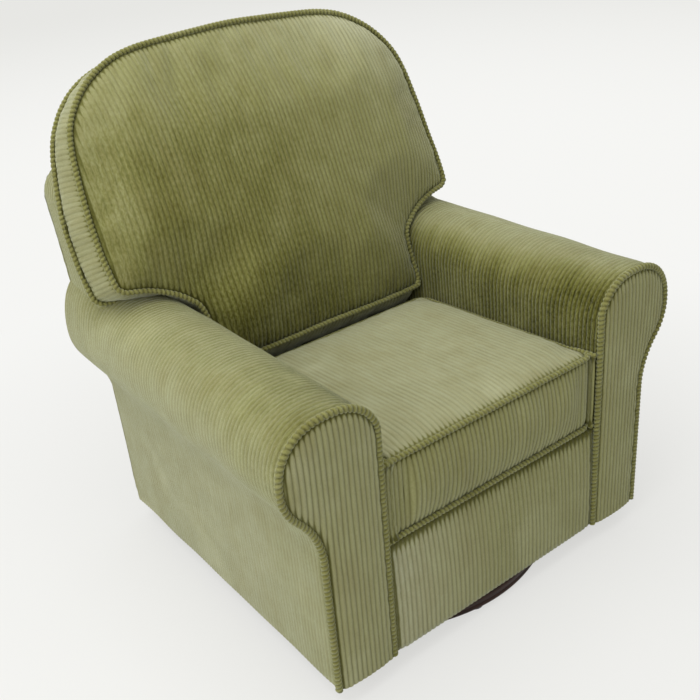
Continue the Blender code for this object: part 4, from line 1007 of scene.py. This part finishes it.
def place_outside_back(across, along):
    """The placing of the outside back: across the chair, and up from its hem."""
    x = (2 * across - 1) * facing_reach[1]
    side = np.abs(x)
    foot, arm_top = facing_ends(side)
    arm_top = arm_top + arm_rise(rear_y(arm_top), arm_top)
    corner = np.clip(side - (frame_half - FRAME_CORNER), 0, FRAME_CORNER)
    block_top = frame_top - FRAME_CORNER + np.sqrt(FRAME_CORNER**2 - corner**2)
    top = np.where(side <= frame_half, block_top, arm_top)
    z = np.clip(rear_low.z + along * outside_rise, foot, top)
    rim = np.maximum(np.minimum.reduce((z - foot, top - z, facing_reach[1] - side)), 0)
    swell = OUTSIDE_SWELL * (1 - np.exp(-rim / OUTSIDE_RUN))
    return np.column_stack((x, rear_y(z) - OUTSIDE_INSET + swell, z)), rim


outside_wales = round(2 * facing_reach[1] / WALE)
outside = lay_cloth("outside_back_cloth", place_outside_back, outside_wales, outside_rise, flip=True)
pad_cloth(outside, -OUTSIDE_DEPTH)
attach(outside, "chair")
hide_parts("outside_back")


# Back frame cover: a band of corduroy round the padded frame behind the back cushion, up one side, over
# the top and down the other, with its cords along the band. It turns in behind the cushion.
BAND_SWELL = 0.004
BAND_FULLNESS = 0.5
BAND_RETURN = 0.030  # how far it turns in behind the cushion
BAND_ROUNDING = 0.012
# how flat the band's pile lies, with its pale painted sheen
BAND_LIE_AND_SHEEN = 0.6
BAND_DEPTH = 0.11  # from the cushion to the outside back, on the whole
BAND_STEP = 0.01  # share of the band in which its direction is taken
BACK_LEAN = math.radians(22.4)


def band_line():
    """The band's line in X and Z, from the foot of its left side over the top to the right foot."""
    middle = (frame_half - FRAME_CORNER, frame_top - FRAME_CORNER)
    bend = corner_arc(middle, FRAME_CORNER, 90, 0)
    half = np.array([(0, frame_top), *bend, (frame_half, block_low.z)])
    return np.vstack((half[::-1] * (-1, 1), half[1:]))


back_band_line = band_line()
band_section = np.array([
    (BAND_RETURN, 0),
    *[(BAND_ROUNDING - x, BAND_ROUNDING + y) for x, y in corner_arc((0, 0), BAND_ROUNDING, -90, 0)],
    (0, BAND_DEPTH),
])
band_width = line_lengths(band_section)[-1]


def place_band(across, along):
    """The placing of the band: from behind the cushion to the outside back, and along the band."""
    spots = along_line(back_band_line, along)
    inward, depth = along_line(band_section, across).T
    front = top_cover_low.y - (frame_top - spots[:, 1]) * math.tan(BACK_LEAN)
    rear = rear_y(spots[:, 1]) - CLOTH_THICKNESS
    runs = unit_rows(line_spans(back_band_line, along, BAND_STEP))
    swell = BAND_SWELL * bulge(across, BAND_FULLNESS) - inward
    y = front + depth / BAND_DEPTH * (rear - front)
    spots = np.column_stack((spots[:, 0] - runs[:, 1] * swell, y, spots[:, 1] + runs[:, 0] * swell))
    return spots, BAND_DEPTH - depth


band_length = line_lengths(back_band_line)[-1]
band_wales = round(band_width / WALE)
band = lay_cloth("back_frame_band", place_band, band_wales, band_length, lie_and_sheen=BAND_LIE_AND_SHEEN, flip=True)
back_cloth(band)
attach(band, "chair")
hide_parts("left_back_side_cover", "right_back_side_cover", "back_top_cover")


# Back cushion: a T-shaped cushion sewn from a front, a back and a border, stuffed with fibre, with ears
# that lie over the arms. Both seams are welted. It is fixed to the back frame and moves with it.
VOXEL = 0.006
OUTLINE_POINTS = 801
BEND_POINTS = 12  # points in each bend of an outline
ON_SEAM = 2e-4  # solid points this near a seam's plane are on it
SAME_POINT = 1e-4  # points of an outline nearer than this are one
SOLID_WELD = 1e-5
NO_LENGTH = 1e-9  # nothing is divided by a length below this
SEAM_HOLD = 0.007  # cloth this near a seam is held by it
RIM_STEP = 0.008  # share of a rim over which its direction is taken
CORNER_STEP = 0.03  # and over which its corners are felt
CAST_FROM = 0.15  # how far before its place a point of cloth is cast onto the stuffing
CAST_REACH = 0.25
STUFFING_PRESSURE = 4.0
STUFFING_STEPS = 20
STUFFING_EVENING = 14  # rounds of smoothing, away from the seams
EVENING_RUN = 0.030
SWELL_LIMIT = 0.022
CORE_DEPTH = 0.007  # how far the stuffing lies below the cloth
CORE_DETAIL = 0.3
BACK_FOOT = Vector((0, 0.076, 0.418))  # the foot of the front seam's plane
BACK_MIDDLE = 0.32  # a height in the middle of the cushion, along its lean
BACK_BORDER = 0.064
BACK_BORDER_ROWS = 12
BACK_REST = 0.068  # where it lies flat against its frame
BACK_SLACK = -0.03  # below 0, the cloth is cut larger than the solid
EAR_DROP = 0.017
EAR_ROOT = (0.275, 0.142)  # where the ears turn out from the stem, across and along the lean
EAR_ROOT_REACH = 0.048
REAR_SPREAD = 0.025  # how much wider it is at its rear
SPREAD_ACROSS = (0.2, 0.3)  # where that starts and ends, across and along the lean
SPREAD_UP = (0.10, 0.18)
SPREAD_LOSS = 0.6  # how much of it is lost towards the top
SPREAD_LOSS_UP = (0.3, 0.5)
REAR_DROP = 0.006  # of the ears' lower rear corners
REAR_DROP_ACROSS = (0.27, 0.34)
REAR_DROP_UP = (0.18, 0.26)
STEM_DROP = 0.006
STEM_TUCK = 0.036  # how far the rear of its foot is tucked down behind the seat cushion
STEM_TOP = 0.1
STEM_PRESS = 0.003  # how far the arms press its stem in
STEM_PRESS_UP = (0.08, 0.13)
SLUMP = 0.007  # how far the upper part leans over to one side
SLUMP_UP = (0.14, 0.32)
# painted light and shade on the back's border, and how flat its pile lies with its painted sheen
BACK_BORDER_PAINTED_SHADING = 1.08
BACK_BORDER_LIE_AND_SHEEN = 0.8
BACK_PAINTED_SHADING = ((0.0, 0.25, 0.4, 0.65, 0.95), (0.49, 0.70, 0.76, 0.76, 0.98))  # painted shade low down, painted light at the top, at shares of its height
BACK_SIDE_PAINTED_SHADING = ((0, 0.15, 0.4, 0.85), (1.05, 1, 0.97, 1.35))  # its painted light and shade from its left to its right
BACK_LIE_AND_SHEEN = ((0, 0.55, 0.95), (0.2, 0.25, 0.65))
BACK_SIDE_LIE_AND_SHEEN = ((0, 0.16), (0.6, 0))
BACK_WELT = 0.0033


def back_painted_shading(across, along):
    """Painted light and shade on the back's front: dark low down, and lighter where it turns over at the top.
    """
    return np.interp(along, *BACK_PAINTED_SHADING) * np.interp(across, *BACK_SIDE_PAINTED_SHADING)


def back_lie_and_sheen(across, along):
    """The pile of the back's front is flattened, with a pale painted sheen, at the top and along its left
    side.
    """
    return np.clip(np.interp(along, *BACK_LIE_AND_SHEEN) + np.interp(across, *BACK_SIDE_LIE_AND_SHEEN), 0, 1)


def settle_back(spots):
    """The back cushion as it settles: ears down on the arms, rear spread, top leaning over a little."""
    x, depth, up = spots.T
    out, far = np.abs(x), np.clip(depth / BACK_BORDER, 0, 1)
    from_root = np.hypot((out - EAR_ROOT[0]) / EAR_ROOT_REACH, (up - EAR_ROOT[1]) / EAR_ROOT_REACH)
    drop = EAR_DROP * np.exp(-(from_root**2)) * (1 - far)
    drop = drop + (STEM_DROP + STEM_TUCK * far) * (1 - rising(up, 0, STEM_TOP))
    drop = drop + REAR_DROP * far * rising(out, *REAR_DROP_ACROSS) * (1 - rising(up, *REAR_DROP_UP))
    spread = REAR_SPREAD * far * rising(up, *SPREAD_UP) * rising(out, *SPREAD_ACROSS)
    spread = spread * (1 - SPREAD_LOSS * rising(up, *SPREAD_LOSS_UP))
    x = x + np.sign(x) * (spread - STEM_PRESS * (1 - rising(up, *STEM_PRESS_UP)))
    return np.column_stack((x - SLUMP * rising(up, *SLUMP_UP), depth, up - drop))


def rest_back(spots):
    """Flattens the back cushion where it lies against its frame."""
    spots[:, 1] = np.minimum(spots[:, 1], BACK_REST)
    return spots


def seam_outline(spots, middle):
    """The outline through points read round a cushion, smoothed, closed and equally spaced."""
    turns = np.arctan2(spots[:, 1] - middle[1], spots[:, 0] - middle[0])
    ordered = spots[np.argsort(turns)]
    ordered = ordered[np.linalg.norm(ordered - np.roll(ordered, 1, axis=0), axis=1) > SAME_POINT]
    a, b, c, d = (np.roll(ordered, shift, axis=0)[:, None] for shift in (1, 0, -1, -2))
    t = np.linspace(0, 1, BEND_POINTS, endpoint=False)[None, :, None]
    bends = 2 * b + (c - a) * t + (2 * a - 5 * b + 4 * c - d) * t**2 + (3 * b - a - 3 * c + d) * t**3
    dense = bends.reshape(-1, 2) / 2
    return along_line(np.vstack((dense, dense[:1])), np.linspace(0, 1, OUTLINE_POINTS))


def stuff_cushion(node, into, settle, rest, seams, slack):
    """A cushion's form in its own frame, blown up by its stuffing while its seams hold."""
    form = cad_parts[node].copy()
    form.data = form.data.copy()
    form.name = f"{node}_stuffing"
    bpy.context.scene.collection.objects.link(form)
    form.data.transform(into)
    move_vertices(form.data, settle(vertex_places(form.data)))
    apply_modifier(form, "WELD", merge_threshold=SOLID_WELD)
    apply_modifier(form, "REMESH", mode="VOXEL", voxel_size=VOXEL)
    apply_modifier(form, "SMOOTH", factor=0.5, iterations=2)
    start = vertex_places(form.data)
    group = form.vertex_groups.new(name="seams")
    group.add(np.flatnonzero(seam_distance(start, seams) < SEAM_HOLD).tolist(), 1.0, "REPLACE")
    cloth = form.modifiers.new("Cloth", "CLOTH")
    cloth.settings.use_pressure = True
    cloth.settings.uniform_pressure_force = STUFFING_PRESSURE
    cloth.settings.effector_weights.gravity = 0
    cloth.settings.vertex_group_mass = "seams"
    cloth.settings.shrink_min = slack
    cloth.point_cache.frame_start, cloth.point_cache.frame_end = 1, STUFFING_STEPS
    for step in range(1, STUFFING_STEPS + 1):
        bpy.context.scene.frame_set(step)
    bpy.ops.object.modifier_apply(modifier="Cloth")
    bpy.context.scene.frame_set(1)
    moved = vertex_places(form.data) - start
    far = np.maximum(np.linalg.norm(moved, axis=1), NO_LENGTH)
    move_vertices(form.data, rest(start + moved * np.minimum(1, SWELL_LIMIT / far)[:, None]))
    evened = form.vertex_groups.new(name="evened")
    for index, share in enumerate(1 - np.exp(-((seam_distance(start, seams) / EVENING_RUN) ** 2))):
        evened.add([index], share, "REPLACE")
    apply_modifier(form, "SMOOTH", factor=0.5, iterations=STUFFING_EVENING, vertex_group="evened")
    apply_modifier(form, "SUBSURF", levels=1, render_levels=1)
    return form


def lay_on(form, spots, aims, held):
    """Spots carried along their aims onto a form, as far as they are not held where they are."""
    tree = BVHTree.FromObject(form, bpy.context.evaluated_depsgraph_get())
    laid = []
    for spot, aim in zip(spots.tolist(), aims.tolist()):
        hit = tree.ray_cast(Vector(spot) - CAST_FROM * Vector(aim), Vector(aim), CAST_REACH)[0]
        laid.append(hit or tree.find_nearest(spot)[0])
    laid = np.array(laid)
    return laid + held[:, None] * (spots - laid)


def face_place(form, rim, aim):
    """The placing of a cushion's face: columns across its rim, carried along aim onto the form.

    The rim's points are two directions in the face's plane and the plane's own height, along aim.
    """
    flat = np.delete(rim, aim[0], axis=1)
    left, right = flat[:, 0].argmin(), flat[:, 0].argmax()
    turned = np.roll(flat[:-1], -left, axis=0)
    split = (right - left) % (len(flat) - 1)
    chains = [turned[: split + 1], np.vstack((turned[split:], turned[:1]))[::-1]]
    low, high = [(np.maximum.accumulate(chain[:, 0]), chain[:, 1]) for chain in chains]
    aims = np.zeros(3)
    aims[aim[0]] = aim[1]

    def place(across, along):
        x = flat[left, 0] + EDGE_INSET + across * (flat[right, 0] - flat[left, 0] - 2 * EDGE_INSET)
        start, end = flat[:, 1].min(), flat[:, 1].max()
        y = np.clip(start + along * (end - start), np.interp(x, *low), np.interp(x, *high))
        spots = np.column_stack((x, y))
        seam = seam_distance(spots, flat[::2])
        spots = np.insert(spots, aim[0], rim[0, aim[0]], axis=1)
        held = np.exp(-((seam / SEAM_HOLD) ** 2))
        return lay_on(form, spots, np.tile(aims, (len(x), 1)), held), seam

    return place, round((flat[right, 0] - flat[left, 0]) / WALE)


def border_place(form, rims, axis, corner_hold=0.0):
    """The placing of a cushion's border: round its rims, and from the first rim to the second."""
    width = np.linalg.norm(rims[1] - rims[0], axis=1).mean()
    length = line_lengths(rims[0])[-1]

    def place(across, along):
        first, second = [along_line(rim, across) for rim in rims]
        spots = first + along[:, None] * (second - first)
        runs = unit_rows(np.delete(line_spans(rims[0], across, RIM_STEP, True), axis, axis=1))
        inward = np.column_stack((-runs[:, 1], runs[:, 0]))
        wide = line_spans(rims[0], across, CORNER_STEP, True)
        seam = np.minimum(along, 1 - along) * width
        corner = corner_hold * (1 - np.linalg.norm(wide, axis=1) / (2 * CORNER_STEP * length))
        held = np.clip(np.maximum(np.exp(-((seam / SEAM_HOLD) ** 2)), corner), 0, 1)
        return lay_on(form, spots, np.insert(inward, axis, 0, axis=1), held), seam

    return place, round(length / WALE)


def cover_cushion(name, form, rims, aim, length, tone, border, welt, corner_hold=0.0):
    """Lays a cushion's faces and border on its form, draws the stuffing in below them, and sews them up.

    The rims are those of its hidden and its shown face, and aim is the axis and the way into the shown one.
    """
    axis, way = aim
    cuts = []
    for rim, way_in, shade in ((rims[1], way, tone), (rims[0], -way, ())):
        place, wales = face_place(form, rim, (axis, way_in))
        cuts.append(lay_cloth(f"{name}_face", place, wales, length, *shade, flip=way_in != way))
    place, wales = border_place(form, rims, axis, corner_hold)
    cuts.append(lay_ring(f"{name}_border", place, wales, *border))
    outward = np.zeros(3)
    outward[axis] = -way
    welts = [lay_welt(f"{name}_welt", rim, outward, welt, True) for rim in rims]
    for cut in cuts:
        back_cloth(cut)
    move_vertices(form.data, vertex_places(form.data) - vertex_normals(form.data) * CORE_DEPTH)
    apply_modifier(form, "DECIMATE", ratio=CORE_DETAIL)
    form.data.materials.clear()
    form.data.materials.append(corduroy)
    # the stuffing takes the corduroy at its darkest: painted shade where it shows between the cuts
    for label, value in (("pile", 0.0), ("painted_shading", 1.0), ("seam", 0.0)):
        keep_values(form.data, label, value)
    return join_pieces(name, [*cuts, *welts, form])


from_back = Matrix.Translation(BACK_FOOT) @ Matrix.Rotation(-BACK_LEAN, 4, "X")
to_back = from_back.inverted()
solid = vertex_places(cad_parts["back_cushion"].data)
solid = solid @ np.array(to_back.to_3x3()).T + np.array(to_back.translation)
back_outline = seam_outline(solid[np.abs(solid[:, 1]) < ON_SEAM][:, [0, 2]], (0, BACK_MIDDLE))
back_rims = [settle_back(np.insert(back_outline, 1, depth, axis=1)) for depth in (BACK_BORDER, 0)]
back_seams = np.vstack(back_rims[::-1])
back_form = stuff_cushion("back_cushion", to_back, settle_back, rest_back, back_seams, BACK_SLACK)
back_height = back_outline[:, 1].max()
back_tone = (back_painted_shading, back_lie_and_sheen)
back_border = (BACK_BORDER, BACK_BORDER_PAINTED_SHADING, BACK_BORDER_LIE_AND_SHEEN, BACK_BORDER_ROWS)
back_cushion = cover_cushion(
    "back_pillow", back_form, back_rims, (1, 1), back_height, back_tone, back_border, BACK_WELT
)
back_cushion.data.transform(from_back)
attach(back_cushion, "chair")
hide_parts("back_cushion")


# Seat cushion: a loose boxed cushion of foam wrapped in wadding. Its top has the cords from front to
# back, its border has them upright, and both seams are welted. It pulls out from between the arms.
SEAT_BORDER = 0.146  # from seam to seam
SEAT_BORDER_ROWS = 14
SEAT_FOOT_SEAM = 0.004  # of the lower seam above the deck
SEAT_INSET = 0.008  # room for the welts between the arms
SEAT_CORNER = 0.024
CORNER_SQUARENESS = 2.8  # 2 is a round corner
CORNER_HOLD = 4.5  # how firmly the border is drawn straight from seam to seam at a corner
SEAT_SHOULDER = 0.018  # how far its upper seam rolls down along the arms and the back
SHOULDER_RUN = 0.034
SHOULDER_START = (0.01, 0.07)  # where that starts behind its front
SEAT_SLACK = -0.02
SEAT_WELT = 0.0030
SEAT_FLAT = 0.015  # how far its top rises above its seam, on the whole
SEAT_SIDE = 0.0035  # how far its sides swell past the seams
SEAT_PITCH = 0.022  # how far its top falls to the rear
PITCH_START = 0.08
# painted light on the seat's top and painted light and shade on its border, and how flat their pile lies with
# its painted sheen
SEAT_TOP_PAINTED_SHADING = 1.22
SEAT_TOP_LIE_AND_SHEEN = 0.7
SEAT_BORDER_PAINTED_SHADING = 1.04
SEAT_BORDER_LIE_AND_SHEEN = 0.2
seat_low, seat_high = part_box("seat_cushion")
seat_middle = (seat_low + seat_high) / 2
seat_seams = (seat_low.z + SEAT_FOOT_SEAM, seat_low.z + SEAT_FOOT_SEAM + SEAT_BORDER)


def settle_seat(spots):
    """The seat cushion drawn in a little by its welted seams, with its corners filled out."""
    middle, half = np.array(seat_middle.xy), np.array((seat_high - seat_low).xy) / 2
    off = spots[:, :2] - middle
    within = np.minimum(np.abs(off), half - SEAT_CORNER)
    beyond = np.abs(off) - within
    squared = (beyond**CORNER_SQUARENESS).sum(axis=1) ** (1 / CORNER_SQUARENESS)
    squared = np.maximum(squared, NO_LENGTH)
    beyond *= np.maximum(np.linalg.norm(beyond, axis=1) / squared, 1)[:, None]
    spots[:, :2] = middle + np.sign(off) * (within + beyond) * (1 - SEAT_INSET / half)
    return spots


def sag_seat(spots):
    """The seat cushion as it lies in use: its upper seam rolls down along the arms and the back."""
    x, y, z = spots.T
    out = [np.clip(1 - gap / SHOULDER_RUN, 0, 1) for gap in (seat_high.x - np.abs(x), seat_high.y - y)]
    out[0] *= rising(y - seat_low.y, *SHOULDER_START)
    shoulder = 1 - np.sqrt(1 - np.minimum(np.hypot(*out), 1) ** 2)
    pitch = np.interp(y, (seat_low.y + PITCH_START, seat_high.y), (0, 1))
    fall = SEAT_SHOULDER * shoulder + SEAT_PITCH * pitch
    return np.column_stack((x, y, z - fall * rising(z, *seat_seams)))


def rest_seat(spots):
    """Flattens the seat cushion on the deck and between the arms, and levels its foam top."""
    rise = np.maximum(spots[:, 2] - seat_seams[1], 0)
    spots[:, 2] = np.maximum(spots[:, 2] - rise + SEAT_FLAT * np.tanh(rise / SEAT_FLAT), seat_low.z)
    out = np.maximum(np.abs(spots[:, 0]) - seat_high.x + SEAT_INSET, 0)
    spots[:, 0] -= np.sign(spots[:, 0]) * (out - SEAT_SIDE * np.tanh(out / SEAT_SIDE))
    return spots


solid = vertex_places(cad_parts["seat_cushion"].data)
seat_outline = seam_outline(solid[np.abs(solid[:, 2] - seat_seams[1]) < ON_SEAM][:, :2], seat_middle)
seat_rims = [settle_seat(np.insert(seat_outline, 2, height, axis=1)) for height in seat_seams]
in_place = Matrix.Identity(4)
seat_form = stuff_cushion("seat_cushion", in_place, settle_seat, rest_seat, np.vstack(seat_rims), SEAT_SLACK)
seat_length = seat_high.y - seat_low.y
seat_tone = (SEAT_TOP_PAINTED_SHADING, SEAT_TOP_LIE_AND_SHEEN)
seat_border = (SEAT_BORDER, SEAT_BORDER_PAINTED_SHADING, SEAT_BORDER_LIE_AND_SHEEN, SEAT_BORDER_ROWS)
seat_cushion = cover_cushion(
    "seat_pillow", seat_form, seat_rims, (2, -1), seat_length, seat_tone, seat_border, SEAT_WELT, CORNER_HOLD
)
move_vertices(seat_cushion.data, sag_seat(vertex_places(seat_cushion.data)))
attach(seat_cushion, "loose_cushion")
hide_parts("seat_cushion")


# Floor, light and camera: a wide white floor that glows for the camera, darker far off with painted fall-off,
# a large soft lamp overhead and a smaller one to the left, and the camera that took the photograph, tilted a
# little.
FLOOR_REACH = 30.0
FLOOR_WHITE = (0.64, 0.64, 0.625, 1)
FLOOR_NEAR = (0.92, 0.92, 0.90, 1)  # how the floor looks round the chair
# painted fall-off: far off, the glowing floor is darker, as if less lit
FLOOR_FAR = (0.80, 0.80, 0.775, 1)
FLOOR_RUN = (2.5, 9.0)  # the distances between which it goes from near to far
SHADOW_SHARE = 0.34  # how much of the floor's own shade shows round the chair
SHADOW_RUN = (0.6, 1.5)
WORLD_LIGHT = 0.68
WORLD_WHITE = (1.0, 1.0, 0.98, 1)
LAMP_TARGET = Vector((0, 0, 0.4))
CAMERA_PLACE = (-0.959, -1.332, 1.235)
CAMERA_AZIMUTH = math.radians(-35.525)
CAMERA_ELEVATION = math.radians(27.61)
CAMERA_ROLL = math.radians(-5.152)
CAMERA_FOCUS = 954.72  # in pixels of the photograph
PHOTO_WIDTH = 700
SENSOR_WIDTH = 36.0

floor = start_piece("floor", bpy.ops.mesh.primitive_plane_add, size=2 * FLOOR_REACH)
floor_paint, tree, shader = start_material("floor_paint", Roughness=0.9, Specular_IOR_Level=0.1)
feed(tree, shader, {"Base Color": FLOOR_WHITE})
spot = add_node(tree, "TexCoord").outputs["Object"]
away = feed(tree, add_node(tree, "VectorMath", operation="LENGTH"), {0: spot}).outputs["Value"]
backdrop = mix_colours(tree, ramp(tree, away, *FLOOR_RUN, curve="SMOOTHSTEP"), FLOOR_NEAR, FLOOR_FAR)
glow = add_node(tree, "Emission", Color=backdrop, Strength=1.0)
path = add_node(tree, "LightPath").outputs
seen = path["Is Camera Ray"]
for label in ("Is Glossy Ray", "Is Transmission Ray"):
    seen = work_out(tree, "MAXIMUM", seen, path[label])
lit = ramp(tree, away, *SHADOW_RUN, 1 - SHADOW_SHARE, 1.0, "SMOOTHSTEP")
shares = {0: work_out(tree, "MULTIPLY", seen, lit), 1: shader.outputs[0], 2: glow.outputs[0]}
painted = feed(tree, add_node(tree, "MixShader"), shares)
feed(tree, tree.nodes["Material Output"], {"Surface": painted.outputs[0]})
floor.data.materials.append(floor_paint)

world = bpy.data.worlds.new("studio")
bpy.context.scene.world = world
world.use_nodes = True
sky = world.node_tree.nodes["Background"]
feed(world.node_tree, sky, {"Color": WORLD_WHITE, "Strength": WORLD_LIGHT})


def add_lamp(name, place, size, power):
    """A square soft lamp at a place, turned to the chair."""
    bpy.ops.object.light_add(type="AREA", location=place)
    lamp = bpy.context.object
    lamp.name = name
    lamp.data.size, lamp.data.energy = size, power
    lamp.rotation_euler = (LAMP_TARGET - Vector(place)).to_track_quat("-Z", "Y").to_euler()


add_lamp("top_lamp", (-0.5, 0.1, 2.9), size=2.4, power=52)
add_lamp("left_lamp", (-2.8, -1.0, 1.5), size=1.8, power=42)

back = Vector((
    math.sin(CAMERA_AZIMUTH) * math.cos(CAMERA_ELEVATION),
    -math.cos(CAMERA_AZIMUTH) * math.cos(CAMERA_ELEVATION),
    math.sin(CAMERA_ELEVATION),
))
level = Vector((math.cos(CAMERA_AZIMUTH), math.sin(CAMERA_AZIMUTH), 0))
upright = back.cross(level)
right = level * math.cos(CAMERA_ROLL) + upright * math.sin(CAMERA_ROLL)
up = upright * math.cos(CAMERA_ROLL) - level * math.sin(CAMERA_ROLL)
bpy.ops.object.camera_add()
camera = bpy.context.object
camera.matrix_world = Matrix.Translation(CAMERA_PLACE) @ Matrix((right, up, back)).transposed().to_4x4()
camera.data.sensor_width = SENSOR_WIDTH
camera.data.lens = CAMERA_FOCUS / PHOTO_WIDTH * SENSOR_WIDTH
bpy.context.scene.camera = camera
